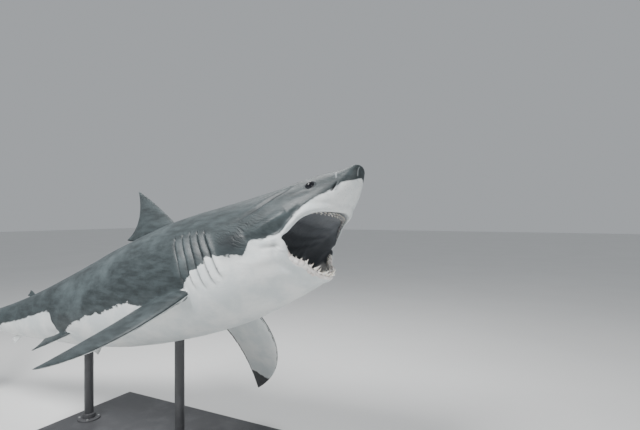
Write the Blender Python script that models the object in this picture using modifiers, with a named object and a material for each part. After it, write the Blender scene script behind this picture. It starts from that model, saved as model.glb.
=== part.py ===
"""A great white shark, four metres long, as a still display model held over a flat base by two rods.

The shark is drawn in body coordinates and then bent along its spine. A body coordinate is (back, left, up):
the distance back from the snout along the spine, the distance to the shark's left, and the distance up.
All three are fractions of the total length until the pose function turns them into metres.
"""
import math

import bmesh
import bpy
import numpy as np
from mathutils import Matrix, Vector

TOTAL_LENGTH = 4.0

# Posture: the trunk climbs and leans, the head lifts to bite, and the tail sweeps to the shark's right.
TRUNK_PITCH = math.radians(19.3)
TRUNK_ROLL = math.radians(17.0)
HEAD_LIFT = math.radians(16.0)
HEAD_TURN = math.radians(-7.0)
HEAD_TWIST = math.radians(6.0)
TAIL_LEVEL = math.radians(-11.8)
TAIL_TURN = math.radians(13.9)
BEND_AT = 0.26
HEAD_STRAIGHT_TO = 0.08
SPINE_STEPS = 440
SPINE_LENGTH = 1.1
BEND_HEIGHT = 1.15
BEND_FORWARD = 0.40
BEND_LEFT = 0.02

# Body stations: back, top, bottom, half width, level of the widest point, squareness of the lower half.
# In front of the corners of the mouth they describe the snout and upper jaw alone.
STATIONS = (
    (0.000, 0.0118, 0.0000, 0.0070, 0.0050, 2.0),
    (0.010, 0.0155, -0.0080, 0.0150, 0.0020, 2.0),
    (0.020, 0.0196, -0.0155, 0.0212, -0.0010, 2.0),
    (0.030, 0.0236, -0.0215, 0.0268, -0.0035, 2.0),
    (0.052, 0.0325, -0.0300, 0.0382, -0.0060, 2.1),
    (0.065, 0.0375, -0.0315, 0.0442, -0.0080, 2.2),
    (0.076, 0.0418, -0.0330, 0.0485, -0.0095, 2.4),
    (0.086, 0.0452, -0.0350, 0.0520, -0.0105, 2.7),
    (0.095, 0.0480, -0.0420, 0.0550, -0.0115, 3.0),
    (0.104, 0.0508, -0.0540, 0.0575, -0.0120, 2.8),
    (0.1135, 0.0537, -0.0815, 0.0598, -0.0120, 2.4),
    (0.125, 0.0572, -0.0838, 0.0625, -0.0120, 2.4),
    (0.150, 0.0640, -0.0852, 0.0668, -0.0110, 2.4),
    (0.200, 0.0760, -0.0880, 0.0716, -0.0080, 2.3),
    (0.250, 0.0848, -0.0905, 0.0735, -0.0050, 2.3),
    (0.300, 0.0904, -0.0915, 0.0735, -0.0020, 2.2),
    (0.350, 0.0922, -0.0905, 0.0725, 0.0000, 2.1),
    (0.450, 0.0857, -0.0840, 0.0643, 0.0000, 2.1),
    (0.550, 0.0690, -0.0690, 0.0505, 0.0000, 2.0),
    (0.650, 0.0487, -0.0500, 0.0350, 0.0000, 2.0),
    (0.720, 0.0345, -0.0365, 0.0248, 0.0000, 2.0),
    (0.780, 0.0232, -0.0245, 0.0190, 0.0000, 2.0),
    (0.830, 0.0168, -0.0175, 0.0140, 0.0000, 2.0),
    (0.860, 0.0150, -0.0150, 0.0095, 0.0000, 2.0),
    (0.895, 0.0070, -0.0060, 0.0030, 0.0000, 2.0),
)
SNOUT_ROUNDING = 0.008
KEEL_CENTRE = 0.825
KEEL_LENGTH = 0.080
KEEL_REACH = 0.011

# The mouth: angles are measured round the body from the middle of the back.
MOUTH_CORNER_ANGLE = math.radians(106.0)
MOUTH_CORNER_BACK = 0.1135
UPPER_LIP_BACK = 0.052
UPPER_LIP_BEND = 0.50
LOWER_LIP_BACK = 0.116
GULLET_BACK = 0.188
GULLET_LEVEL = -0.046
GULLET_HALF_WIDTH = 0.047
PALATE_VAULT = 0.012
UPPER_LIP_DEPTH = 0.009
LOWER_LIP_DEPTH = 0.014

BACK_COLUMNS = 8
LIP_COLUMNS = 8
SNOUT_ROWS = 7
MOUTH_ROWS = 8
BODY_ROWS = 22

FIN_ROWS = 8
FIN_COLUMNS = 6
EDGE_SHARE = 0.10

# Fins: points are (back, out) from the fin's own origin; the rear tip is the free corner behind the base.
FIRST_DORSAL = dict(
    back=0.350, level=0.0900, direction=1, base=0.100, front_control=(0.058, 0.066), tip=(0.104, 0.100),
    rear_control=(0.084, 0.030), rear_tip=(0.127, 0.011), rear_tip_share=0.14, root_depth=0.030,
    thickness=0.0150, tip_thickness=0.0030,
)
SECOND_DORSAL = dict(
    back=0.705, level=0.0365, direction=1, base=0.016, front_control=(0.010, 0.010), tip=(0.020, 0.0130),
    rear_control=(0.020, 0.005), rear_tip=(0.030, 0.003), rear_tip_share=0.25, root_depth=0.014,
    thickness=0.0035, tip_thickness=0.0012,
)
ANAL = dict(
    back=0.722, level=-0.0350, direction=-1, base=0.016, front_control=(0.010, 0.010), tip=(0.021, 0.0145),
    rear_control=(0.020, 0.005), rear_tip=(0.031, 0.003), rear_tip_share=0.25, root_depth=0.014,
    thickness=0.0035, tip_thickness=0.0012,
)
UPPER_CAUDAL = dict(
    back=0.825, level=0.0010, direction=1, base=0.066, front_control=(0.058, 0.082), tip=(0.168, 0.152),
    rear_control=(0.098, 0.055), rear_tip=(0.070, 0.004), rear_tip_share=0.08, root_depth=0.0,
    thickness=0.0150, tip_thickness=0.0030, root_shift=(0.0, 0.0),
)
LOWER_CAUDAL = dict(
    back=0.825, level=-0.0010, direction=-1, base=0.066, front_control=(0.045, 0.070), tip=(0.122, 0.128),
    rear_control=(0.084, 0.045), rear_tip=(0.069, 0.004), rear_tip_share=0.08, root_depth=0.0,
    thickness=0.0150, tip_thickness=0.0030, root_shift=(0.0, 0.0),
)
LEFT, RIGHT = 1, -1
PECTORAL = dict(
    back=0.265, left=0.0643, level=-0.0512, base=0.074, front_control=(-0.022, 0.122), tip=(0.1158, 0.1692),
    rear_control=(0.062, 0.074), rear_tip=(0.090, 0.016), rear_tip_share=0.14, root_depth=0.035,
    thickness=0.0160, tip_thickness=0.0030, drawn_sweep=math.radians(34.4),
    twist={LEFT: math.radians(11.0), RIGHT: math.radians(5.5)},
    sweep={LEFT: math.radians(32.3), RIGHT: math.radians(51.5)},
    droop={LEFT: math.radians(38.3), RIGHT: math.radians(33.0)},
)
PELVIC = dict(
    back=0.555, left=0.0330, level=-0.0520, base=0.042, front_control=(0.018, 0.024), tip=(0.0420, 0.0430),
    rear_control=(0.050, 0.020), rear_tip=(0.062, 0.007), rear_tip_share=0.22, root_depth=0.016,
    thickness=0.0070, tip_thickness=0.0018, drawn_sweep=math.radians(44.0), twist={LEFT: 0.0, RIGHT: 0.0},
    sweep={LEFT: math.radians(50.0), RIGHT: math.radians(50.0)},
    droop={LEFT: math.radians(38.0), RIGHT: math.radians(38.0)},
)

GUM_POINTS = 17
UPPER_GUM_SPAN = 0.84
LOWER_GUM_SPAN = 0.90
UPPER_GUM_DEPTH = 0.034
LOWER_GUM_DEPTH = 0.055
GUM_RADIUS = 0.0150
UPPER_TEETH_SPAN = 0.80
LOWER_TEETH_SPAN = 0.93
UPPER_TEETH = 24
LOWER_TEETH = 22
UPPER_TOOTH_LENGTH = 0.026
LOWER_TOOTH_LENGTH = 0.034
UPPER_TOOTH_WIDTH = 0.026
LOWER_TOOTH_WIDTH = 0.019
TOOTH_FLATNESS = 0.35
GUM_SIDES = 8
BED_EXTRA = 0.15

EYE_BACK = 0.060
EYE_ANGLE = math.radians(63.0)
EYE_RADIUS = 0.0230
EYE_SUNK = 0.0035

BASE_LENGTH = 1.80
BASE_WIDTH = 0.90
BASE_HEIGHT = 0.030
BASE_BEVEL = 0.006
ROD_RADIUS = 0.030
ROD_FRONT_BACK = 0.350
ROD_REAR_BACK = 0.560

CUT_WIDTH = 0.0010
FIT_GAP = 0.0006
SEAT_GAP = 0.0003
CUT_REACH = 0.2
LENGTH_CUTS = (("neck", 0.205), ("gills", 0.345), ("middle", 0.50), ("tail", 0.70))
JAW_CUT_TOP = (0.100, 0.0, -0.0475)
JAW_CUT_FOOT = (0.172, 0.0, -0.1035)
CREASE_ANGLE = math.radians(50.0)


def station_curve(column):
    """Return a smooth function of the distance back that passes through one column of STATIONS."""
    table = np.array(STATIONS)
    xs, ys = table[:, 0], table[:, column]
    steps = np.diff(xs)
    slopes = np.diff(ys) / steps
    tangents = np.zeros(len(xs))
    same_way = slopes[:-1] * slopes[1:] > 0
    harmonic = 2.0 * slopes[:-1] * slopes[1:] / np.where(same_way, slopes[:-1] + slopes[1:], 1.0)
    tangents[1:-1] = np.where(same_way, harmonic, 0.0)
    tangents[0], tangents[-1] = slopes[0], slopes[-1]

    def curve(x):
        x = np.clip(x, xs[0], xs[-1])
        i = np.clip(np.searchsorted(xs, x) - 1, 0, len(steps) - 1)
        h, t = steps[i], (x - xs[i]) / steps[i]
        start = (1 + 2 * t) * (1 - t) ** 2 * ys[i] + t * (1 - t) ** 2 * h * tangents[i]
        return start + t * t * (3 - 2 * t) * ys[i + 1] - t * t * (1 - t) * h * tangents[i + 1]

    return curve


TOP, BOTTOM, HALF_WIDTH, WIDEST, SQUARENESS = (station_curve(column) for column in range(1, 6))


def body_point(back, angle, chin=False):
    """Return a point of the outer body at a distance back and an angle round from the middle of the back.

    With chin, a point in front of the corners of the mouth lies on the lower jaw.
    """
    bottom = BOTTOM(np.maximum(back, MOUTH_CORNER_BACK)) if chin else BOTTOM(back)
    rounding = np.sqrt(1.0 - (1.0 - np.clip(back / SNOUT_ROUNDING, 0.0, 1.0)) ** 2)
    level = WIDEST(back)
    power = np.where(np.cos(angle) < 0, 2.0 / SQUARENESS(back), 1.0)
    side, rise = np.sin(angle), np.cos(angle)
    reach = np.where(rise < 0, level - bottom, TOP(back) - level)
    left = HALF_WIDTH(back) * np.sign(side) * np.abs(side) ** power
    keel = KEEL_REACH * np.exp(-(((back - KEEL_CENTRE) / (0.5 * KEEL_LENGTH)) ** 4))
    left = left + keel * np.sign(side) * np.exp(-((rise / 0.22) ** 2))
    up = level + reach * np.sign(rise) * np.abs(rise) ** power
    return np.stack([back + 0 * left, left * rounding, up * rounding + level * (1 - rounding)], axis=-1)


def lip_share(angle):
    """Return 0 in the middle of the chin and 1 at either corner of the mouth."""
    return np.abs(math.pi - np.mod(angle, 2 * math.pi)) / (math.pi - MOUTH_CORNER_ANGLE)


def lip_backs(angle):
    """Return how far back the rows that lead into and out of the mouth lie at an angle round the body."""
    share = lip_share(angle)
    sweep = UPPER_LIP_BEND * share**1.85 + (1.0 - UPPER_LIP_BEND) * share**12
    upper = UPPER_LIP_BACK + (MOUTH_CORNER_BACK - UPPER_LIP_BACK) * sweep
    lower = LOWER_LIP_BACK + (MOUTH_CORNER_BACK - LOWER_LIP_BACK) * share**2.5
    over = np.clip((share - 1.0) * (math.pi - MOUTH_CORNER_ANGLE) / MOUTH_CORNER_ANGLE, 0.0, 1.0)
    spread = 1.0 - (1.0 - over) ** 2
    outside_upper = MOUTH_CORNER_BACK - 0.002 - 0.045 * spread
    outside_lower = MOUTH_CORNER_BACK + 0.002 + 0.030 * spread
    inside = share < 1.0
    return np.where(inside, upper, outside_upper), np.where(inside, lower, outside_lower)


def mouth_point(angle, depth):
    """Return a point of the mouth's lining; depth is 0 at the upper lip, 0.5 deepest, 1 at the lower lip."""
    share = lip_share(angle)
    side = np.sign(np.sin(angle))
    upper_back, lower_back = lip_backs(angle)
    upper, lower = body_point(upper_back, angle), body_point(lower_back, angle, chin=True)
    corner = body_point(np.array(MOUTH_CORNER_BACK), np.array(MOUTH_CORNER_ANGLE))
    swing = 0.5 * math.pi * np.clip(share, 0.0, 1.0)
    deep_back = MOUTH_CORNER_BACK + (GULLET_BACK - MOUTH_CORNER_BACK) * np.cos(swing) ** 0.8
    deep_left = side * GULLET_HALF_WIDTH * np.sin(swing) ** 1.2
    deep_up = GULLET_LEVEL + (corner[2] - GULLET_LEVEL) * np.sin(swing) ** 2
    deep = np.stack([deep_back, deep_left, deep_up], axis=-1)
    above = depth < 0.5
    lip = np.where(above[..., None], upper, lower)
    turn = math.pi * np.where(above, depth, 1.0 - depth)
    inward, toward = np.sin(turn)[..., None], np.cos(turn)[..., None]
    foot = np.stack([lip[..., 0], lip[..., 1], deep[..., 2]], axis=-1)
    point = foot + (lip - foot) * toward + (deep - foot) * inward
    step = np.sin(turn) ** 0.35 * np.cos(turn)
    vault = PALATE_VAULT * np.sin(2.0 * turn) * np.cos(swing)
    point[..., 2] += np.where(above, UPPER_LIP_DEPTH * step + vault, LOWER_LIP_DEPTH * step)
    return point


def spine_table():
    """Return the spine's places and its forward, left and up directions in metres, in the world."""
    backs = np.linspace(0.0, SPINE_LENGTH, SPINE_STEPS + 1)
    ahead = np.clip((BEND_AT - backs) / BEND_AT, 0.0, 1.0)
    lift = np.clip((BEND_AT - backs) / (BEND_AT - HEAD_STRAIGHT_TO), 0.0, 1.0)
    behind = np.clip((backs - BEND_AT) / (1.0 - BEND_AT), 0.0, None)
    pitch = HEAD_LIFT * lift + TAIL_LEVEL * behind
    turn = HEAD_TURN * ahead + TAIL_TURN * behind
    forward = np.stack([np.cos(pitch) * np.cos(turn), np.cos(pitch) * np.sin(turn), np.sin(pitch)], axis=-1)
    left = np.stack([-np.sin(turn), np.cos(turn), 0 * turn], axis=-1)
    up = np.cross(forward, left)
    twist = (HEAD_TWIST * lift)[:, None]
    left, up = left * np.cos(twist) + up * np.sin(twist), up * np.cos(twist) - left * np.sin(twist)
    step = TOTAL_LENGTH * SPINE_LENGTH / SPINE_STEPS
    places = np.zeros_like(forward)
    places[1:] = np.cumsum(-0.5 * (forward[1:] + forward[:-1]) * step, axis=0)
    at_bend = int(round(BEND_AT / SPINE_LENGTH * SPINE_STEPS))
    places -= places[at_bend]
    lean = Matrix.Rotation(-TRUNK_PITCH, 3, "Y") @ Matrix.Rotation(-TRUNK_ROLL, 3, "X")
    to_world = np.array(lean).T
    bend = np.array([BEND_FORWARD, BEND_LEFT, BEND_HEIGHT])
    return backs, places @ to_world + bend, forward @ to_world, left @ to_world, up @ to_world


SPINE = spine_table()


def spine_frame(back):
    """Return the spine's place and its forward, left and up directions at distances back."""
    backs = SPINE[0]
    return [np.stack([np.interp(back, backs, rows[:, i]) for i in range(3)], axis=-1) for rows in SPINE[1:]]


def pose(points):
    """Turn body coordinates into metres in the world."""
    points = np.asarray(points, dtype=float)
    place, _, left, up = spine_frame(points[..., 0])
    return place + TOTAL_LENGTH * (left * points[..., 1:2] + up * points[..., 2:3])


def material(name, colour, roughness):
    """Return a Principled material, made once for each name."""
    found = bpy.data.materials.get(name)
    if found:
        return found
    made = bpy.data.materials.new(name)
    made.use_nodes = True
    shader = made.node_tree.nodes["Principled BSDF"]
    shader.inputs["Base Color"].default_value = (*colour, 1.0)
    shader.inputs["Roughness"].default_value = roughness
    made.diffuse_color = (*colour, 1.0)
    return made


def shade(mesh):
    """Shade a mesh smooth up to a crease."""
    mesh.shade_smooth()
    mesh.set_sharp_from_angle(angle=CREASE_ANGLE)


def new_object(name, mesh, collection, finish):
    """Link a mesh to the scene as a named object with its own material, shaded smooth up to a crease."""
    made = bpy.data.objects.new(name, mesh)
    collection.objects.link(made)
    mesh.materials.clear()
    mesh.materials.append(finish)
    shade(mesh)
    return made


def mesh_from(name, points, faces):
    """Return a mesh of triangles that face outwards."""
    mesh = bpy.data.meshes.new(name)
    work = bmesh.new()
    corners = [work.verts.new(Vector(point)) for point in points]
    for face in faces:
        work.faces.new([corners[i] for i in face])
    bmesh.ops.triangulate(work, faces=work.faces[:])
    bmesh.ops.recalc_face_normals(work, faces=work.faces[:])
    work.to_mesh(mesh)
    work.free()
    return mesh


def ring_faces(rows, columns, first=0):
    """Return the faces between closed rings of points that follow each other."""
    faces = []
    for row in range(rows - 1):
        for column in range(columns):
            a, b = first + row * columns + column, first + row * columns + (column + 1) % columns
            faces.append((a, b, b + columns, a + columns))
    return faces


def cut(target, cutter, how="DIFFERENCE"):
    """Change the target's mesh by a Boolean with the cutter."""
    modifier = target.modifiers.new("Cut", "BOOLEAN")
    modifier.operation = how
    modifier.solver = "EXACT"
    modifier.object = cutter
    graph = bpy.context.evaluated_depsgraph_get()
    graph.update()
    result = bpy.data.meshes.new_from_object(target.evaluated_get(graph))
    target.modifiers.remove(modifier)
    old = target.data
    target.data = result
    bpy.data.meshes.remove(old)
    shade(result)


def column_angles():
    """Return the angles of the body's lengthwise lines, closer together beside the corners of the mouth."""
    beside = 0.03
    over = np.linspace(0.0, MOUTH_CORNER_ANGLE - beside, BACK_COLUMNS)
    under = np.linspace(MOUTH_CORNER_ANGLE + beside, math.pi, LIP_COLUMNS)
    half = np.concatenate([over, under])
    return np.concatenate([half, -half[-2:0:-1]])


def body_rings():
    """Return the body's rings in body coordinates, from the snout through the mouth to the tail root."""
    angles = column_angles()
    upper_back, lower_back = lip_backs(angles)
    in_mouth = lip_share(angles) < 1.0
    rings = [body_point(upper_back * (row / SNOUT_ROWS) ** 1.7, angles) for row in range(1, SNOUT_ROWS + 1)]
    for row in range(1, MOUTH_ROWS):
        depth = row / MOUTH_ROWS
        outside = body_point(upper_back + (lower_back - upper_back) * depth, angles)
        inside = mouth_point(angles, np.full(len(angles), depth))
        rings.append(np.where(in_mouth[:, None], inside, outside))
    end = STATIONS[-1][0]
    for row in range(BODY_ROWS + 1):
        rings.append(body_point(lower_back + (end - lower_back) * row / BODY_ROWS, angles, chin=True))
    return np.array(rings)


def body_mesh(swell=0.0):
    """Return the whole body as one closed mesh, grown along its normals by swell metres."""
    rings = pose(body_rings())
    rows, columns = rings.shape[:2]
    points = [pose(np.array([0.0, 0.0, WIDEST(0.0)]))] + list(rings.reshape(-1, 3))
    faces = [(0, 1 + (column + 1) % columns, 1 + column) for column in range(columns)]
    faces += ring_faces(rows, columns, first=1)
    faces.append(tuple(range(len(points) - columns, len(points))))
    mesh = mesh_from("body", points, faces)
    if swell:
        normals = [vertex.normal.copy() for vertex in mesh.vertices]
        for vertex, normal in zip(mesh.vertices, normals):
            vertex.co += swell * normal
    return mesh


def slab(name, start, end, collection):
    """Return a wide thin plate that crosses the body along the line between two body coordinates."""
    start, end = (Vector(pose(np.array(point))) for point in (start, end))
    across = Vector(spine_frame(np.array(0.1))[2])
    bpy.ops.mesh.primitive_cube_add(size=1.0)
    plate = bpy.context.object
    along = (end - start).normalized()
    thick = along.cross(across).normalized()
    turn = Matrix((along, thick.cross(along).normalized(), thick)).transposed().to_4x4()
    place = Matrix.Translation((start + end) / 2)
    plate.matrix_world = place @ turn @ Matrix.Diagonal(((end - start).length, 1.2, CUT_WIDTH, 1.0))
    plate.name = name
    as_cutter(plate, collection)
    return plate


def move_to(thing, collection):
    """Link an object to one collection only."""
    for old in thing.users_collection:
        old.objects.unlink(thing)
    collection.objects.link(thing)


def as_cutter(thing, collection):
    """Keep an object out of renders and move it to the collection of cutters."""
    move_to(thing, collection)
    thing.hide_render = True
    thing.display_type = "WIRE"


def part_body(body, parts, cutters, finish):
    """Cut the body into its named lengths and its lower jaw."""
    for name, back in LENGTH_CUTS:
        cut(body, slab("cut_" + name, (back, 0.0, -CUT_REACH), (back, 0.0, CUT_REACH), cutters))
    cut(body, slab("cut_jaw", JAW_CUT_TOP, JAW_CUT_FOOT, cutters))
    work = bmesh.new()
    work.from_mesh(body.data)
    pieces = []
    left = set(work.verts)
    while left:
        piece, edge = set(), [next(iter(left))]
        while edge:
            vertex = edge.pop()
            if vertex not in piece:
                piece.add(vertex)
                edge += [link.other_vert(vertex) for link in vertex.link_edges]
        pieces.append(piece)
        left -= piece
    pieces.sort(key=lambda piece: sum(vertex.co.x for vertex in piece) / len(piece))
    front = sorted(pieces[-2:], key=lambda piece: sum(vertex.co.z for vertex in piece) / len(piece))
    names = ("tail_stock", "trunk_rear", "trunk_front", "gill_region", "lower_jaw", "head")
    for name, piece in zip(names, pieces[:-2] + front):
        part = work.copy()
        keep = {vertex.index for vertex in piece}
        others = [vertex for vertex in part.verts if vertex.index not in keep]
        bmesh.ops.delete(part, geom=others, context="VERTS")
        mesh = bpy.data.meshes.new(name)
        part.to_mesh(mesh)
        part.free()
        new_object(name, mesh, parts, finish)
    work.free()
    bpy.data.objects.remove(body)


def lens_offsets(count):
    """Return the chord shares and thickness shares of a fin's section, round from the front edge and back."""
    shares = np.linspace(0.0, 1.0, count) ** 1.6
    thickness = 2.6 * np.sqrt(shares) * (1.0 - shares) + EDGE_SHARE * shares
    chord = np.concatenate([shares, shares[:0:-1]])
    offset = np.concatenate([thickness, -thickness[:0:-1]])
    return chord, offset


def curve_through(start, control, end, share):
    """Return points along a quadratic curve."""
    share = np.asarray(share)[..., None]
    start, control, end = (np.array(point) for point in (start, control, end))
    return (1 - share) ** 2 * start + 2 * share * (1 - share) * control + share**2 * end


def fin_outline(fin, share):
    """Return a fin's front and rear points, (back, out), at shares of its span from base to tip."""
    front = curve_through((0.0, 0.0), fin["front_control"], fin["tip"], share)
    at_rear_tip = fin["rear_tip_share"]
    along_base = np.clip(share / at_rear_tip, 0.0, 1.0)[..., None]
    base_end, rear_tip = np.array((fin["base"], 0.0)), np.array(fin["rear_tip"])
    inner = base_end + (rear_tip - base_end) * along_base
    hind_share = np.clip((share - at_rear_tip) / (1.0 - at_rear_tip), 0.0, 1.0)
    hind = curve_through(rear_tip, fin["rear_control"], fin["tip"], hind_share)
    return front, np.where((share < at_rear_tip)[:, None], inner, hind)


def fin_rings(fin):
    """Return the sections of a fin as (back, out, aside) from inside the body to just short of the tip."""
    shares = np.concatenate([[0.0], np.linspace(0.0, 1.0, FIN_ROWS) ** 0.9 * 0.985])
    front, rear = fin_outline(fin, shares)
    front[0] -= np.array(fin.get("root_shift", (0.0, 1.0))) * fin["root_depth"]
    rear[0] -= np.array(fin.get("root_shift", (0.0, 1.0))) * fin["root_depth"]
    chord, offset = lens_offsets(FIN_COLUMNS)
    half = 0.5 * (fin["thickness"] + (fin["tip_thickness"] - fin["thickness"]) * shares)
    flat = front[:, None] + (rear - front)[:, None] * chord[None, :, None]
    aside = half[:, None] * offset[None]
    return np.concatenate([flat, aside[..., None]], axis=-1)


def closed_mesh(name, rings):
    """Return a closed mesh through rings of world points, capped at both ends."""
    rows, columns = rings.shape[:2]
    faces = ring_faces(rows, columns)
    faces += [tuple(range(columns)), tuple(range((rows - 1) * columns, rows * columns))]
    return mesh_from(name, rings.reshape(-1, 3), faces)


def median_fin(name, fin, parts, finish):
    """Make a fin that stands on the body's middle plane."""
    rings = fin_rings(fin)
    back, out, aside = (rings[..., i] for i in range(3))
    points = np.stack([fin["back"] + back, aside, fin["level"] + fin["direction"] * out], axis=-1)
    return new_object(name, closed_mesh(name, pose(points)), parts, finish)


def paired_fin(name, fin, side, parts, finish):
    """Make one of a pair of fins, swept and drooped from its origin on the flank."""
    sweep, droop, drawn = fin["sweep"][side], fin["droop"][side], fin["drawn_sweep"]
    origin = pose(np.array([fin["back"], side * fin["left"], fin["level"]]))
    _, forward, left, up = spine_frame(np.array(fin["back"]))
    outward = side * math.cos(droop) * left - math.sin(droop) * up
    normal = math.cos(droop) * up + side * math.sin(droop) * left
    tipward = math.cos(sweep) * outward - math.sin(sweep) * forward
    across = -math.sin(sweep) * outward - math.cos(sweep) * forward
    twist = fin["twist"][side]
    across, normal = (
        math.cos(twist) * across + math.sin(twist) * normal,
        math.cos(twist) * normal - math.sin(twist) * across,
    )
    back, out, aside = (fin_rings(fin)[..., i : i + 1] for i in range(3))
    along = out * math.cos(drawn) + back * math.sin(drawn)
    behind = back * math.cos(drawn) - out * math.sin(drawn)
    points = origin + TOTAL_LENGTH * (tipward * along + across * behind + normal * aside)
    return new_object(name, closed_mesh(name, points), parts, finish)


def gum_path(upper):
    """Return the middle line of a gum in body coordinates, from one corner of the mouth to the other."""
    ends = (math.pi - MOUTH_CORNER_ANGLE) * (UPPER_GUM_SPAN if upper else LOWER_GUM_SPAN)
    angles = np.linspace(math.pi - ends, math.pi + ends, GUM_POINTS)
    return mouth_point(angles, np.full(len(angles), UPPER_GUM_DEPTH if upper else 1.0 - LOWER_GUM_DEPTH))


def tube_rings(path, radius, sides):
    """Return rings round a path of world points, narrowing towards both ends."""
    path = np.asarray(path)
    along = np.gradient(path, axis=0)
    along /= np.linalg.norm(along, axis=1)[:, None]
    _, forward, _, up = spine_frame(np.array(LOWER_LIP_BACK))
    first = np.cross(along, up + forward)
    first /= np.linalg.norm(first, axis=1)[:, None]
    second = np.cross(along, first)
    angles = (np.arange(sides) * 2 * math.pi / sides)[None, :, None]
    share = np.linspace(-1.0, 1.0, len(path))
    radii = radius * (0.45 + 0.55 * np.sqrt(1.0 - share**2))
    ring = first[:, None] * np.cos(angles) + second[:, None] * np.sin(angles)
    return path[:, None] + radii[:, None, None] * ring


def teeth_mesh(name, world, upper):
    """Return one mesh with all the teeth of a jaw: flat points rooted along the world path of the gum."""
    _, forward, _, up = spine_frame(np.array(LOWER_LIP_BACK))
    count = UPPER_TEETH if upper else LOWER_TEETH
    span = UPPER_TEETH_SPAN if upper else LOWER_TEETH_SPAN
    widest = UPPER_TOOTH_WIDTH if upper else LOWER_TOOTH_WIDTH
    longest = UPPER_TOOTH_LENGTH if upper else LOWER_TOOTH_LENGTH
    lean = -0.95 * up - 0.15 * forward if upper else 0.35 * up + 0.90 * forward
    shares = np.linspace(-1.0, 1.0, len(world))
    work = bmesh.new()
    for step in np.linspace(-span, span, count):
        place = np.array([np.interp(step, shares, world[:, i]) for i in range(3)])
        ahead = np.array([np.interp(step + 0.02, shares, world[:, i]) for i in range(3)])
        width_way = (ahead - place) / np.linalg.norm(ahead - place)
        point_way = lean - width_way * lean.dot(width_way)
        point_way /= np.linalg.norm(point_way)
        size = 1.0 - 0.55 * abs(step) ** 1.5
        width, length = widest * size, longest * size + GUM_RADIUS
        axes = np.stack([width_way, np.cross(point_way, width_way), point_way], axis=1)
        shape = Matrix(axes.tolist()).to_4x4() @ Matrix.Diagonal((width, TOOTH_FLATNESS * width, length, 1.0))
        middle = Vector(place + point_way * (0.35 * GUM_RADIUS + 0.25 * length))
        shape = Matrix.Translation(middle) @ shape
        bmesh.ops.create_cone(
            work, cap_ends=True, segments=6, radius1=0.5, radius2=0.04, depth=1.0, matrix=shape
        )
    mesh = bpy.data.meshes.new(name)
    work.to_mesh(mesh)
    work.free()
    return mesh


def jaw_teeth(name, upper, parts, cutters, finish, swollen, owners):
    """Make a gum with its row of teeth, and cut its bed out of the pieces that it lies in."""
    world = pose(gum_path(upper))
    gum = new_object(name, closed_mesh(name, tube_rings(world, GUM_RADIUS, GUM_SIDES)), parts, finish)
    bed_path = world.copy()
    for end, inner in ((0, 1), (-1, -2)):
        bed_path[end] += (world[end] - world[inner]) * BED_EXTRA
    bed_mesh = closed_mesh(name + "_bed", tube_rings(bed_path, GUM_RADIUS + FIT_GAP, GUM_SIDES))
    bed = new_object(name + "_bed", bed_mesh, cutters, finish)
    as_cutter(bed, cutters)
    for thing in owners:
        cut(thing, bed)
    points = new_object(name + "_points", teeth_mesh(name + "_points", world, upper), cutters, finish)
    cut(points, swollen)
    cut(gum, points, "UNION")
    bpy.data.objects.remove(points)
    return gum


def ball_at(place, radius):
    """Return a new ball."""
    bpy.ops.mesh.primitive_uv_sphere_add(segments=12, ring_count=8, radius=radius, location=place)
    return bpy.context.object


def eye(name, side, head, parts, cutters, finish):
    """Make an eye as a ball and cut its socket out of the head."""
    surface = body_point(np.array(EYE_BACK), np.array(side * EYE_ANGLE))
    inner = surface * np.array([1.0, 1.0 - EYE_SUNK / abs(surface[1]), 1.0])
    place = Vector(pose(inner))
    ball = ball_at(place, EYE_RADIUS)
    ball.name = name
    move_to(ball, parts)
    ball.data.materials.append(finish)
    shade(ball.data)
    socket = ball_at(place, EYE_RADIUS + FIT_GAP)
    socket.name = name + "_socket"
    as_cutter(socket, cutters)
    cut(head, socket)
    return ball


def stand(parts, swollen, finish):
    """Make the flat base and the two rods that hold the body."""
    bpy.ops.mesh.primitive_cube_add(size=1.0, location=(0.0, 0.0, 0.5 * BASE_HEIGHT))
    base = bpy.context.object
    base.name = "stand_base"
    base.data.transform(Matrix.Diagonal((BASE_LENGTH, BASE_WIDTH, BASE_HEIGHT, 1.0)))
    bevel = base.modifiers.new("Edges", "BEVEL")
    bevel.width = BASE_BEVEL
    bevel.segments = 2
    things = [base]
    for name, back in (("stand_rod_front", ROD_FRONT_BACK), ("stand_rod_rear", ROD_REAR_BACK)):
        x, y, z = pose(np.array([back, 0.0, 0.0]))
        low = BASE_HEIGHT + SEAT_GAP
        bpy.ops.mesh.primitive_cylinder_add(
            vertices=24, radius=ROD_RADIUS, depth=z - low, location=(x, y, 0.5 * (z + low))
        )
        rod = bpy.context.object
        rod.name = name
        cut(rod, swollen)
        things.append(rod)
    for thing in things:
        move_to(thing, parts)
        thing.data.materials.clear()
        thing.data.materials.append(finish)


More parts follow.
